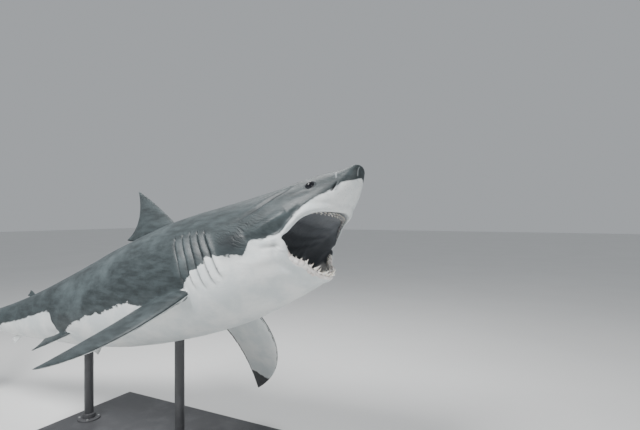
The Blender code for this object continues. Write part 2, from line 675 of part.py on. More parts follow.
def main():
    for thing in list(bpy.data.objects):
        bpy.data.objects.remove(thing)
    parts = bpy.data.collections.new("great_white_shark")
    cutters = bpy.data.collections.new("cutters")
    for collection in (parts, cutters):
        bpy.context.scene.collection.children.link(collection)
    skin = material("shark_skin", (0.30, 0.36, 0.40), 0.45)
    teeth = material("teeth", (0.86, 0.84, 0.78), 0.30)
    black = material("eye_black", (0.01, 0.01, 0.012), 0.08)
    steel = material("stand_paint", (0.10, 0.10, 0.11), 0.50)
    body = new_object("body", body_mesh(), parts, skin)
    swollen = new_object("body_swollen", body_mesh(swell=FIT_GAP), parts, skin)
    as_cutter(swollen, cutters)
    part_body(body, parts, cutters, skin)
    fins = [
        median_fin("dorsal_fin_first", FIRST_DORSAL, parts, skin),
        median_fin("dorsal_fin_second", SECOND_DORSAL, parts, skin),
        median_fin("anal_fin", ANAL, parts, skin),
        median_fin("caudal_fin_upper", UPPER_CAUDAL, parts, skin),
        median_fin("caudal_fin_lower", LOWER_CAUDAL, parts, skin),
    ]
    for side, word in ((LEFT, "left"), (RIGHT, "right")):
        fins.append(paired_fin("pectoral_fin_" + word, PECTORAL, side, parts, skin))
        fins.append(paired_fin("pelvic_fin_" + word, PELVIC, side, parts, skin))
    for fin in fins:
        cut(fin, swollen)
    head, jaw = bpy.data.objects["head"], bpy.data.objects["lower_jaw"]
    jaw_teeth("teeth_upper", True, parts, cutters, teeth, swollen, [head])
    jaw_teeth("teeth_lower", False, parts, cutters, teeth, swollen, [head, jaw])
    for side, word in ((LEFT, "left"), (RIGHT, "right")):
        eye("eye_" + word, side, head, parts, cutters, black)
    stand(parts, swollen, steel)


main()
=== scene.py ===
"""Dress the great white shark display model: one skin over body and fins, eyes, gums, teeth and stand.

The skin is drawn in body coordinates and then bent along the spine. A body coordinate is (back, left, up):
the distance back from the snout along the spine, the distance to the shark's left, and the distance up, all
as fractions of the total length. A place on the skin is given by the distance back and the angle round the
body from the middle of the back.
"""
import math
from collections import namedtuple
from contextlib import contextmanager

import bmesh
import bpy
import numpy as np
from mathutils import Matrix, Vector, noise
from mathutils.bvhtree import BVHTree
from mathutils.kdtree import KDTree


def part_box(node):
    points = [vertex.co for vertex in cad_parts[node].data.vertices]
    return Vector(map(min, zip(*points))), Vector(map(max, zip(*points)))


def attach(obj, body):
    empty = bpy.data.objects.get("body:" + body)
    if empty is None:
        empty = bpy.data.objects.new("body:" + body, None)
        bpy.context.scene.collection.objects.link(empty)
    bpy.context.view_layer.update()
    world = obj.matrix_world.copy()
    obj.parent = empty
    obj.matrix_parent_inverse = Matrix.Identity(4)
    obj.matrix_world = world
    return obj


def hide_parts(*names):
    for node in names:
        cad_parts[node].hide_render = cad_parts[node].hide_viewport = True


bl_info = {
    "name": "Great White Shark Display Model",
    "version": (1, 0, 0),
    "blender": (4, 5, 0),
    "location": "3D View > Sidebar > Shark",
    "description": "Builds the skin, eyes, teeth, stand and studio of a life-size great white shark",
    "category": "Add Mesh",
}

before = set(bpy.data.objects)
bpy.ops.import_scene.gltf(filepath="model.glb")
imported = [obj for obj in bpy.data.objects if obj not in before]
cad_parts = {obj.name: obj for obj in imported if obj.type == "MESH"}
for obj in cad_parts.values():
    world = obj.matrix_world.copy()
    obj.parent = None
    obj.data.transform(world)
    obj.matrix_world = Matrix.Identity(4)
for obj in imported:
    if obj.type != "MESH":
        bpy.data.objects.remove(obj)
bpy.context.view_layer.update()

TOTAL_LENGTH = 4.0
LEFT, RIGHT = 1, -1
FAR = 9.0

# The pose: the trunk climbs and leans, the head lifts, turns and twists in front of the bend, and the tail
# swings aside behind it.
TRUNK_PITCH = math.radians(19.3)
TRUNK_ROLL = math.radians(17.0)
HEAD_LIFT = math.radians(16.0)
HEAD_TURN = math.radians(-7.0)
HEAD_TWIST = math.radians(6.0)
TAIL_LEVEL = math.radians(-11.8)
TAIL_TURN = math.radians(13.9)
BEND_AT = 0.26
HEAD_STRAIGHT_TO = 0.08
SPINE_STEPS = 440
SPINE_LENGTH = 1.1
BEND_PLACE = (0.40, 0.02, 1.15)

# Body stations: back, top, bottom, half width, level of the widest point, squareness of the lower half.
# In front of the corners of the mouth they describe the snout and upper jaw alone.
STATIONS = (
    (0.000, 0.0105, 0.0020, 0.0095, 0.0064, 2.0),
    (0.010, 0.0133, -0.0080, 0.0158, 0.0040, 2.0),
    (0.020, 0.0174, -0.0155, 0.0212, -0.0005, 2.0),
    (0.030, 0.0224, -0.0215, 0.0268, -0.0035, 2.0),
    (0.052, 0.0325, -0.0300, 0.0382, -0.0060, 2.1),
    (0.065, 0.0375, -0.0315, 0.0442, -0.0080, 2.2),
    (0.076, 0.0418, -0.0330, 0.0485, -0.0095, 2.4),
    (0.086, 0.0452, -0.0350, 0.0520, -0.0105, 2.7),
    (0.095, 0.0480, -0.0420, 0.0550, -0.0115, 3.0),
    (0.104, 0.0508, -0.0540, 0.0575, -0.0120, 2.8),
    (0.1135, 0.0537, -0.0815, 0.0598, -0.0120, 2.4),
    (0.125, 0.0572, -0.0838, 0.0625, -0.0120, 2.4),
    (0.150, 0.0640, -0.0852, 0.0668, -0.0110, 2.4),
    (0.200, 0.0760, -0.0880, 0.0716, -0.0080, 2.3),
    (0.250, 0.0848, -0.0905, 0.0735, -0.0050, 2.3),
    (0.300, 0.0904, -0.0915, 0.0735, -0.0020, 2.2),
    (0.350, 0.0922, -0.0905, 0.0725, 0.0000, 2.1),
    (0.450, 0.0857, -0.0840, 0.0643, 0.0000, 2.1),
    (0.550, 0.0690, -0.0690, 0.0505, 0.0000, 2.0),
    (0.650, 0.0487, -0.0500, 0.0350, 0.0000, 2.0),
    (0.720, 0.0345, -0.0365, 0.0248, 0.0000, 2.0),
    (0.780, 0.0232, -0.0245, 0.0190, 0.0000, 2.0),
    (0.830, 0.0168, -0.0175, 0.0140, 0.0000, 2.0),
    (0.860, 0.0150, -0.0150, 0.0095, 0.0000, 2.0),
    (0.895, 0.0070, -0.0060, 0.0030, 0.0000, 2.0),
)
CURVE_SAMPLES = 1791
SOFTENING_SAMPLES = 30
SOFTENING_WIDTH = 12.0
SNOUT_ROUNDING = 0.0047
KEEL_CENTRE = 0.825
KEEL_LENGTH = 0.080
KEEL_REACH = 0.011
KEEL_THICKNESS = 0.22

# The mouth: its corners, its lips, how the lower jaw's rim lies off the round throat, and the gullet.
MOUTH_CORNER_ANGLE = math.radians(106.0)
MOUTH_CORNER_BACK = 0.1135
UPPER_LIP_BACK = 0.052
UPPER_LIP_BEND = 0.50
UPPER_LIP_POWERS = (1.85, 12)
LOWER_LIP_BACK = 0.116
LOWER_LIP_POWER = 2.5
JAW_FORWARD = 0.0098
JAW_DROP = 0.0070
JAW_NARROWING = 0.0115
JAW_RIM_REACH = 0.020
JAW_RIM_DEPTH = 0.080
CORNER_ROUNDING = 0.0065
CORNER_ROUNDING_FROM = 0.55
CORNER_ROW_GAP = 0.002
ROWS_AHEAD_OF_CORNER = 0.045
ROWS_BEHIND_CORNER = 0.030
GULLET_BACK = 0.188
GULLET_LEVEL = -0.046
GULLET_HALF_WIDTH = 0.047
PALATE_VAULT = 0.012
UPPER_LIP_DEPTH = 0.009
LOWER_LIP_DEPTH = 0.014

EYE_BACK = 0.060
EYE_ANGLE = math.radians(63.0)
EYE_RADIUS = 0.0250
EYE_SUNK = 0.0028
SOCKET_DEPTH = 0.022
SOCKET_EDGE = (0.0185, 0.0225)
SOCKET_SHADE = (0.021, 0.040)
LID_RADIUS = 0.0265
LID_WIDTH = 0.0055

# The spacing of the skin's rings, in metres at distances back, and of its lengthwise lines, in degrees.
RING_SPACING = (
    (0.116, 0.0045), (0.132, 0.0050), (0.140, 0.0062), (0.195, 0.0062), (0.205, 0.0040), (0.285, 0.0040),
    (0.300, 0.0110), (0.460, 0.0130), (0.500, 0.0220), (0.800, 0.0230), (0.895, 0.0120),
)
LINE_SPACING = (
    (0.0, 3.6), (34.0, 2.8), (40.0, 1.7), (100.0, 1.7), (104.0, 0.9), (113.0, 0.9), (118.0, 1.6),
    (135.0, 1.9), (150.0, 2.8), (180.0, 3.0),
)
SPACING_SAMPLES = 4000
SNOUT_RINGS = 76
SNOUT_RING_POWER = 1.35
MOUTH_RINGS = 64

# The edge between grey and white, as (back, degrees round from the middle of the back).
WATERLINE = (
    (0.000, 176.0), (0.009, 165.0), (0.017, 124.0), (0.025, 104.0), (0.038, 100.0), (0.053, 94.5),
    (0.063, 91.0), (0.077, 91.5), (0.086, 93.5), (0.096, 96.5), (0.107, 99.5), (0.117, 99.5),
    (0.132, 97.0), (0.156, 94.5), (0.169, 102.5), (0.185, 100.0), (0.200, 96.5), (0.223, 94.0),
    (0.240, 99.0), (0.256, 103.0), (0.270, 113.0), (0.300, 123.0), (0.355, 121.0), (0.387, 113.0),
    (0.430, 114.0), (0.486, 116.0), (0.524, 120.0), (0.558, 127.0), (0.580, 146.0), (0.607, 97.0),
    (0.665, 102.0), (0.717, 109.0), (0.760, 118.0), (0.810, 121.0), (0.840, 132.0), (0.860, 172.0),
    (0.900, 179.0),
)

# The gill slits, from front to rear: their places back, and their upper and lower ends in degrees.
GILL_BACKS = (0.2130, 0.2270, 0.2420, 0.2570, 0.2725)
GILL_TOPS = (66.0, 64.0, 62.0, 62.0, 64.0)
GILL_FEET = (118.0, 121.0, 122.0, 119.0, 113.0)
GILL_LEAN = 0.00050
GILL_FLAP_HEIGHT = 0.0085
GILL_SLIT_DEPTH = 0.0170
GILL_SLIT_BEHIND = 0.0075

# The fins: back, left and level place the front end of the base, and a point of the outline is a distance
# back and a distance out from it.
FIRST_DORSAL = dict(
    back=0.350, level=0.0900, direction=1, base=0.100, front_control=(0.058, 0.066), tip=(0.104, 0.100),
    rear_control=(0.084, 0.030), rear_tip=(0.127, 0.011), rear_tip_share=0.14, root_depth=0.030,
    thickness=0.0150, tip_thickness=0.0030, rows=44, columns=26,
)
SECOND_DORSAL = dict(
    back=0.705, level=0.0365, direction=1, base=0.016, front_control=(0.010, 0.010), tip=(0.020, 0.0130),
    rear_control=(0.020, 0.005), rear_tip=(0.030, 0.003), rear_tip_share=0.25, root_depth=0.014,
    thickness=0.0035, tip_thickness=0.0012, rows=14, columns=10,
)
ANAL = dict(
    back=0.722, level=-0.0350, direction=-1, base=0.016, front_control=(0.010, 0.010), tip=(0.021, 0.0145),
    rear_control=(0.020, 0.005), rear_tip=(0.031, 0.003), rear_tip_share=0.25, root_depth=0.014,
    thickness=0.0035, tip_thickness=0.0012, rows=14, columns=10,
)
UPPER_CAUDAL = dict(
    back=0.825, level=0.0010, direction=1, base=0.066, front_control=(0.058, 0.082), tip=(0.168, 0.152),
    rear_control=(0.098, 0.055), rear_tip=(0.070, 0.004), rear_tip_share=0.08, root_depth=0.0,
    thickness=0.0150, tip_thickness=0.0030, root_shift=(0.0, 0.0), rows=56, columns=18, notch=0.88,
)
LOWER_CAUDAL = dict(
    back=0.825, level=-0.0010, direction=-1, base=0.066, front_control=(0.045, 0.070), tip=(0.122, 0.128),
    rear_control=(0.084, 0.045), rear_tip=(0.069, 0.004), rear_tip_share=0.08, root_depth=0.0,
    thickness=0.0150, tip_thickness=0.0030, root_shift=(0.0, 0.0), rows=48, columns=18,
)
PECTORAL = dict(
    back=0.265, left=0.0643, level=-0.0512, base=0.074, front_control=(-0.022, 0.122), tip=(0.1158, 0.1692),
    rear_control=(0.076, 0.076), rear_tip=(0.090, 0.016), rear_tip_share=0.14, root_depth=0.035,
    thickness=0.0160, tip_thickness=0.0030, drawn_sweep=math.radians(34.4),
    twist={LEFT: math.radians(11.0), RIGHT: math.radians(5.5)}, tip_twist=math.radians(5.0),
    sweep={LEFT: math.radians(32.3), RIGHT: math.radians(51.5)},
    droop={LEFT: math.radians(38.3), RIGHT: math.radians(33.0)}, rows=64, columns=26,
)
PELVIC = dict(
    back=0.555, left=0.0330, level=-0.0520, base=0.042, front_control=(0.018, 0.024), tip=(0.0420, 0.0430),
    rear_control=(0.050, 0.020), rear_tip=(0.062, 0.007), rear_tip_share=0.22, root_depth=0.016,
    thickness=0.0070, tip_thickness=0.0018, drawn_sweep=math.radians(44.0), twist={LEFT: 0.0, RIGHT: 0.0},
    sweep={LEFT: math.radians(50.0), RIGHT: math.radians(50.0)},
    droop={LEFT: math.radians(38.0), RIGHT: math.radians(38.0)}, rows=22, columns=14,
)
MEDIAN_FINS = (
    ("dorsal", FIRST_DORSAL), ("dorsal", SECOND_DORSAL), ("anal", ANAL), ("caudal", UPPER_CAUDAL),
    ("caudal", LOWER_CAUDAL),
)
PAIRED_FINS = (("pectoral", PECTORAL), ("pelvic", PELVIC))
# A fin's rear edge keeps a share of its thickness. Its notch and its raggedness are shares of its chord deep,
# and the notch's width is a share of its span.
EDGE_SHARE = 0.10
NOTCH_DEPTH = 0.035
NOTCH_WIDTH = 0.022
EDGE_RAGGEDNESS = 0.006
# The stored numbers that are 0 all over a fin, and the one that keeps its skin from turning black.
NOT_ON_FINS = ("mouth", "gum", "scar", "crease_shade", "wrinkle", "pores")
NEVER = -1.0
# How wide a band, in metres, is smoothed where a fin grows from the body.
SEAM_WIDTHS = {"dorsal": 0.055, "pectoral": 0.050, "caudal": 0.040, "anal": 0.025, "pelvic": 0.025}

# The gums and teeth of each jaw. Depths inside the lip are shares of the lining, gum_span is a share of the
# way to the mouth's corners, tooth_raise is a share of the gum's radius, and the rest are metres. A row is
# its depth, the size of its teeth, and how far they lean back into the mouth.
UPPER_JAW = dict(
    upper=True, gum_depth=0.024, gum_radius=0.0085, gum_span=0.97, tooth_width=0.021, tooth_length=0.018,
    tooth_raise=0.0, rows=((0.018, 1.0, 0.0), (0.030, 0.7, 0.7)),
)
LOWER_JAW = dict(
    upper=False, gum_depth=0.022, gum_radius=0.0185, gum_span=0.93, tooth_width=0.023, tooth_length=0.042,
    tooth_raise=0.35, rows=((0.008, 1.0, 0.0), (0.024, 0.85, 0.30), (0.040, 0.70, 0.65)),
)
GUM_SUNK = 0.35
GUM_SIDES = 20
GUM_RINGS_PER_TOOTH = 8
JAW_SAMPLES = 401
TOOTH_SAMPLES = 201
TOOTH_SPAN = 0.95
TOOTH_SUNK = 0.002
TOOTH_SIDES = 12

# The parts of a rod's foot, as radius, height and rounding of the upper edge in metres.
FLANGE = (0.075, 0.010, 0.003)
COLLAR = (0.043, 0.030, 0.006)
SCREW_HEAD = (0.0075, 0.006, 0.0015)
SCREW_CIRCLE = 0.060

# Colours that no setting changes, and the spacing of fine lines in metres.
PORE_COLOUR = (0.03, 0.035, 0.04)
FIN_TIP_COLOUR = (0.018, 0.021, 0.025)
# Painted shade between the pebbles of the bare gum.
GUM_GAP_SHADE_COLOUR = (0.20, 0.19, 0.19)
SCAR_COLOUR = (0.50, 0.53, 0.54)
# Painted shade in the folds, gill slits and nostrils, and round the eyes.
CREASE_SHADE_COLOUR = (0.012, 0.014, 0.017)
# Painted shade in the grooves of the cheek's wrinkles.
WRINKLE_SHADE_COLOUR = (0.015, 0.018, 0.021)
EYE_RIM_COLOUR = (0.014, 0.018, 0.026)
STEEL_COLOUR = (0.55, 0.55, 0.56)
SKY_COLOUR = (0.80, 0.84, 0.88, 1.0)
WRINKLE_SPACING = 0.0155
FIN_RAY_SPACING = 0.0075

# The studio's lights, as name, place, target, size and power, and its camera and floor.
LIGHTS = (
    ("key", (-0.4, -2.4, 4.6), (0.4, 0.0, 1.2), 1.8, 330.0),
    ("overhead", (-0.8, 1.6, 4.4), (0.2, 0.0, 1.2), 2.4, 90.0),
    ("fill", (4.4, -1.6, 2.0), (0.8, 0.0, 1.3), 2.4, 45.0),
)
CAMERA_PLACE = (2.163, -2.139, 1.447)
CAMERA_DIRECTION = (-0.460, 0.888, 0.0)
CAMERA_LENS = 25.94
SENSOR_WIDTH = 36.0
FLOOR_REACH = 40.0

SKIN_NODES = (
    "head", "lower_jaw", "gill_region", "trunk_front", "trunk_rear", "tail_stock", "dorsal_fin_first",
    "dorsal_fin_second", "anal_fin", "caudal_fin_upper", "caudal_fin_lower", "pectoral_fin_left",
    "pectoral_fin_right", "pelvic_fin_left", "pelvic_fin_right",
)


# ---- Curves of the body -------------------------------------------------------------------------------


def station_curve(column):
    """Return a smooth function of the distance back that passes close to one column of STATIONS."""
    table = np.array(STATIONS)
    xs, ys = table[:, 0], table[:, column]
    steps = np.diff(xs)
    slopes = np.diff(ys) / steps
    tangents = np.zeros(len(xs))
    same_way = slopes[:-1] * slopes[1:] > 0
    harmonic = 2.0 * slopes[:-1] * slopes[1:] / np.where(same_way, slopes[:-1] + slopes[1:], 1.0)
    tangents[1:-1] = np.where(same_way, harmonic, 0.0)
    tangents[0], tangents[-1] = slopes[0], slopes[-1]
    x = np.linspace(xs[0], xs[-1], CURVE_SAMPLES)
    i = np.clip(np.searchsorted(xs, x) - 1, 0, len(steps) - 1)
    h, t = steps[i], (x - xs[i]) / steps[i]
    start = (1 + 2 * t) * (1 - t) ** 2 * ys[i] + t * (1 - t) ** 2 * h * tangents[i]
    y = start + t * t * (3 - 2 * t) * ys[i + 1] - t * t * (1 - t) * h * tangents[i + 1]
    weights = hump(np.arange(-SOFTENING_SAMPLES, SOFTENING_SAMPLES + 1), SOFTENING_WIDTH)
    padded = np.pad(y, SOFTENING_SAMPLES, mode="edge")
    soft = np.convolve(padded, weights / weights.sum(), mode="valid")
    keep_ends = smooth_step(0.13, 0.17, x) * (1.0 - smooth_step(0.85, 0.88, x))
    y = y + (soft - y) * keep_ends
    return lambda back: np.interp(back, x, y)


def smooth_step(low, high, x):
    """Return 0 below low, 1 above high and a smooth rise between them."""
    t = np.clip((x - low) / (high - low), 0.0, 1.0)
    return t * t * (3.0 - 2.0 * t)


def hump(distance, width):
    """Return a bell curve that is 1 at no distance."""
    return np.exp(-((distance / width) ** 2))


TOP, BOTTOM, HALF_WIDTH, WIDEST, SQUARENESS = (station_curve(column) for column in range(1, 6))


def body_point(back, angle, chin=False):
    """Return a point of the outer body at a distance back and an angle round from the middle of the back.

    With chin, a point in front of the corners of the mouth lies on the lower jaw.
    """
    bottom = BOTTOM(np.maximum(back, MOUTH_CORNER_BACK)) if chin else BOTTOM(back)
    rounding = np.sqrt(1.0 - (1.0 - np.clip(back / SNOUT_ROUNDING, 0.0, 1.0)) ** 2)
    level = WIDEST(back)
    power = np.where(np.cos(angle) < 0, 2.0 / SQUARENESS(back), 1.0)
    side, rise = np.sin(angle), np.cos(angle)
    reach = np.where(rise < 0, level - bottom, TOP(back) - level)
    left = HALF_WIDTH(back) * np.sign(side) * np.abs(side) ** power
    keel = KEEL_REACH * np.exp(-(((back - KEEL_CENTRE) / (0.5 * KEEL_LENGTH)) ** 4))
    left = left + keel * np.sign(side) * hump(rise, KEEL_THICKNESS)
    up = level + reach * np.sign(rise) * np.abs(rise) ** power
    parts = np.broadcast_arrays(back, left * rounding, up * rounding + level * (1 - rounding))
    return np.stack(parts, axis=-1)


def lip_share(angle):
    """Return 0 in the middle of the chin and 1 at either corner of the mouth."""
    return np.abs(math.pi - np.mod(angle, 2 * math.pi)) / (math.pi - MOUTH_CORNER_ANGLE)


def lip_backs(angle):
    """Return how far back the rows that lead into and out of the mouth lie at an angle round the body."""
    share = lip_share(angle)
    gentle, sudden = UPPER_LIP_POWERS
    sweep = UPPER_LIP_BEND * share**gentle + (1.0 - UPPER_LIP_BEND) * share**sudden
    upper = UPPER_LIP_BACK + (MOUTH_CORNER_BACK - UPPER_LIP_BACK) * sweep
    lower = LOWER_LIP_BACK + (MOUTH_CORNER_BACK - LOWER_LIP_BACK) * share**LOWER_LIP_POWER
    near_corner = np.clip((share - CORNER_ROUNDING_FROM) / (1.0 - CORNER_ROUNDING_FROM), 0.0, 1.0)
    lower = lower + CORNER_ROUNDING * np.sin(math.pi * near_corner) ** 2
    over = np.clip((share - 1.0) * (math.pi - MOUTH_CORNER_ANGLE) / MOUTH_CORNER_ANGLE, 0.0, 1.0)
    spread = 1.0 - (1.0 - over) ** 2
    outside_upper = MOUTH_CORNER_BACK - CORNER_ROW_GAP - ROWS_AHEAD_OF_CORNER * spread
    outside_lower = MOUTH_CORNER_BACK + CORNER_ROW_GAP + ROWS_BEHIND_CORNER * spread
    inside = share < 1.0
    return np.where(inside, upper, outside_upper), np.where(inside, lower, outside_lower)


def jaw_shift(angle):
    """Return how far the lower jaw's rim lies forward, inward and down from the throat's round section."""
    share = np.minimum(lip_share(angle), 1.0)
    forward = JAW_FORWARD * (1.0 - share)
    inward = JAW_NARROWING * 4.0 * share * (1.0 - share) * np.sign(np.sin(angle))
    down = JAW_DROP * (1.0 - share**5)
    return -np.stack([forward, inward, down], axis=-1)


def jaw_point(back, angle):
    """Return a point of the body behind the mouth, where the rim of the lower jaw draws forward."""
    behind = np.maximum(back - lip_backs(angle)[1], 0.0)
    return body_point(back, angle, chin=True) + jaw_shift(angle) * hump(behind, JAW_RIM_REACH)[..., None]


def mouth_point(angle, depth):
    """Return a point of the mouth's lining; depth is 0 at the upper lip, 0.5 deepest, 1 at the lower lip.

    The lining runs on a quarter of an ellipse from each lip to its deepest line. Towards the corners of the
    mouth that line comes to lie between the lips and then meets them.
    """
    share = lip_share(angle)
    side = np.sign(np.sin(angle))
    upper_back, lower_back = lip_backs(angle)
    upper, lower = body_point(upper_back, angle), body_point(lower_back, angle, chin=True)
    corner = body_point(np.array(MOUTH_CORNER_BACK), np.array(MOUTH_CORNER_ANGLE))
    swing = 0.5 * math.pi * np.clip(share, 0.0, 1.0)
    at_corner = np.clip(share, 0.0, 1.0) ** 14
    between = smooth_step(0.50, 0.85, share)
    side_up = corner[2] * (1.0 - between) + 0.5 * (upper[..., 2] + lower[..., 2]) * between
    deep_back = MOUTH_CORNER_BACK + (GULLET_BACK - MOUTH_CORNER_BACK) * np.cos(swing) ** 0.8
    deep_left = side * (GULLET_HALF_WIDTH * np.sin(swing) ** 1.2 * (1.0 - at_corner) + corner[1] * at_corner)
    deep_up = GULLET_LEVEL + (side_up - GULLET_LEVEL) * np.sin(swing) ** 2
    deep = np.stack([deep_back, deep_left, deep_up], axis=-1)
    above = depth < 0.5
    lip = np.where(above[..., None], upper, lower)
    turn = math.pi * np.where(above, depth, 1.0 - depth)
    inward, toward = np.sin(turn)[..., None], np.cos(turn)[..., None]
    foot = np.stack([lip[..., 0], lip[..., 1], deep[..., 2]], axis=-1)
    point = foot + (lip - foot) * toward + (deep - foot) * inward
    step = np.sin(turn) ** 0.35 * np.cos(turn) * (1.0 - at_corner)
    vault = PALATE_VAULT * np.sin(2.0 * turn) * np.cos(swing)
    point[..., 2] += np.where(above, UPPER_LIP_DEPTH * step + vault, LOWER_LIP_DEPTH * step)
    return point + jaw_shift(angle) * hump(1.0 - depth, JAW_RIM_DEPTH)[..., None]


def spine_table():
    """Return the spine's places and its forward, left and up directions in metres, in the world."""
    backs = np.linspace(0.0, SPINE_LENGTH, SPINE_STEPS + 1)
    ahead = np.clip((BEND_AT - backs) / BEND_AT, 0.0, 1.0)
    lift = np.clip((BEND_AT - backs) / (BEND_AT - HEAD_STRAIGHT_TO), 0.0, 1.0)
    behind = np.clip((backs - BEND_AT) / (1.0 - BEND_AT), 0.0, None)
    pitch = HEAD_LIFT * lift + TAIL_LEVEL * behind
    turn = HEAD_TURN * ahead + TAIL_TURN * behind
    forward = np.stack([np.cos(pitch) * np.cos(turn), np.cos(pitch) * np.sin(turn), np.sin(pitch)], axis=-1)
    left = np.stack([-np.sin(turn), np.cos(turn), 0 * turn], axis=-1)
    up = np.cross(forward, left)
    twist = (HEAD_TWIST * lift)[:, None]
    left, up = left * np.cos(twist) + up * np.sin(twist), up * np.cos(twist) - left * np.sin(twist)
    step = TOTAL_LENGTH * SPINE_LENGTH / SPINE_STEPS
    places = np.zeros_like(forward)
    places[1:] = np.cumsum(-0.5 * (forward[1:] + forward[:-1]) * step, axis=0)
    places -= places[int(round(BEND_AT / SPINE_LENGTH * SPINE_STEPS))]
    lean = Matrix.Rotation(-TRUNK_PITCH, 3, "Y") @ Matrix.Rotation(-TRUNK_ROLL, 3, "X")
    to_world = np.array(lean).T
    return backs, places @ to_world + np.array(BEND_PLACE), forward @ to_world, left @ to_world, up @ to_world


SPINE = spine_table()


def spine_frame(back):
    """Return the spine's place and its forward, left and up directions at distances back."""
    backs = SPINE[0]
    return [np.stack([np.interp(back, backs, rows[:, i]) for i in range(3)], axis=-1) for rows in SPINE[1:]]


def pose(points):
    """Turn body coordinates into metres in the world."""
    points = np.asarray(points, dtype=float)
    place, _, left, up = spine_frame(points[..., 0])
    return place + TOTAL_LENGTH * (left * points[..., 1:2] + up * points[..., 2:3])


# ---- Mesh helpers -------------------------------------------------------------------------------------


def spaced(start, end, table, scale=1.0):
    """Return places from start to end whose spacing follows a table of (place, spacing)."""
    fine = np.linspace(start, end, SPACING_SAMPLES)
    places, spacings = zip(*table)
    rate = scale / np.interp(fine, places, spacings)
    count = np.concatenate([[0.0], np.cumsum(0.5 * (rate[1:] + rate[:-1]) * np.diff(fine))])
    return np.interp(np.linspace(0.0, count[-1], int(round(count[-1])) + 1), count, fine)


def unit(vectors):
    """Return vectors with their length made 1."""
    return vectors / np.linalg.norm(vectors, axis=-1, keepdims=True)


def mesh_from(work, name):
    """Return a mesh made from a bmesh, which is freed."""
    mesh = bpy.data.meshes.new(name)
    work.to_mesh(mesh)
    work.free()
    return mesh


@contextmanager
def edited(mesh):
    """Open a mesh as a bmesh, and write it back afterwards."""
    work = bmesh.new()
    work.from_mesh(mesh)
    work.verts.ensure_lookup_table()
    yield work
    work.to_mesh(mesh)
    work.free()


def relax(work, vertices):
    """Move vertices halfway to the middle of their neighbours."""
    bmesh.ops.smooth_vert(work, verts=vertices, factor=0.5, use_axis_x=True, use_axis_y=True, use_axis_z=True)


def grid_mesh(name, points):
    """Return a closed mesh laid over rings of world points; the last point of a ring joins its first."""
    points = np.concatenate([points, points[:, :1]], axis=1)
    rows, columns = points.shape[:2]
    work = bmesh.new()
    bmesh.ops.create_grid(work, x_segments=columns - 1, y_segments=rows - 1, size=0.5)
    for vertex in work.verts:
        column = round((vertex.co.x + 0.5) * (columns - 1))
        row = round((vertex.co.y + 0.5) * (rows - 1))
        vertex.co = points[row, column]
    bmesh.ops.remove_doubles(work, verts=work.verts[:], dist=1e-6)
    rim = [edge for edge in work.edges if edge.is_boundary]
    if rim:
        bmesh.ops.holes_fill(work, edges=rim, sides=0)
    bmesh.ops.recalc_face_normals(work, faces=work.faces[:])
    return mesh_from(work, name)


def add_piece(name, mesh, finish=None):
    """Link a mesh to the scene as a named object, shaded smooth."""
    piece = bpy.data.objects.new(name, mesh)
    bpy.context.scene.collection.objects.link(piece)
    if finish:
        mesh.materials.append(finish)
    mesh.shade_smooth()
    return piece


def mesh_points(mesh):
    """Return the places of a mesh's vertices as an array."""
    flat = np.empty(3 * len(mesh.vertices))
    mesh.vertices.foreach_get("co", flat)
    return flat.reshape(-1, 3)


def write_values(mesh, name, values):
    """Store one number on each vertex of a mesh under a name."""
    layer = mesh.attributes.new(name, "FLOAT", "POINT")
    layer.data.foreach_set("value", np.asarray(values, dtype=np.float32))


def joined(thing, others):
    """Return the mesh of an object after a Boolean union with others; they are all removed."""
    group = bpy.data.collections.new("union")
    bpy.context.scene.collection.children.link(group)
    for other in others:
        bpy.context.scene.collection.objects.unlink(other)
        group.objects.link(other)
    modifier = thing.modifiers.new("Union", "BOOLEAN")
    modifier.operation = "UNION"
    modifier.solver = "MANIFOLD"
    modifier.operand_type = "COLLECTION"
    modifier.collection = group
    graph = bpy.context.evaluated_depsgraph_get()
    graph.update()
    mesh = bpy.data.meshes.new_from_object(thing.evaluated_get(graph))
    mesh.materials.clear()
    for old in [thing] + list(others):
        bpy.data.objects.remove(old)
    bpy.data.collections.remove(group)
    return mesh


# ---- Relief of the skin -------------------------------------------------------------------------------


def round_radius(back, angle):
    """Return how many metres of skin a radian of angle is worth."""
    level = WIDEST(back)
    reach = np.where(np.cos(angle) < 0, level - BOTTOM(back), TOP(back) - level)
    return TOTAL_LENGTH * np.hypot(HALF_WIDTH(back) * np.cos(angle), reach * np.sin(angle))


def line_distance(back, aside, line, taper=False):
    """Return the distance over the skin, in metres, from a line of (back, degrees) points.

    With taper, also return a strength that is 1 in the middle of the line and falls to 0 at its ends.
    """
    radius = round_radius(back, aside)
    x, y = TOTAL_LENGTH * back, radius * aside
    nearest, along = np.full(np.shape(x), FAR), np.zeros(np.shape(x))
    for step, ((back_a, angle_a), (back_b, angle_b)) in enumerate(zip(line[:-1], line[1:])):
        ax, ay = TOTAL_LENGTH * back_a, radius * math.radians(angle_a)
        dx, dy = TOTAL_LENGTH * back_b - ax, radius * math.radians(angle_b) - ay
        t = np.clip(((x - ax) * dx + (y - ay) * dy) / (dx**2 + dy**2), 0.0, 1.0)
        distance = np.hypot(x - ax - t * dx, y - ay - t * dy)
        along = np.where(distance < nearest, (step + t) / (len(line) - 1), along)
        nearest = np.minimum(nearest, distance)
    if taper:
        return nearest, np.clip(np.sin(math.pi * along), 0.0, 1.0) ** 0.7
    return nearest


def lip_line(upper):
    """Return the edge of a lip as (back, degrees) points from the corner to the middle."""
    angles = np.linspace(MOUTH_CORNER_ANGLE + 1e-4, math.pi, 24)
    backs = lip_backs(angles)[0 if upper else 1]
    return list(zip(backs, np.degrees(angles)))
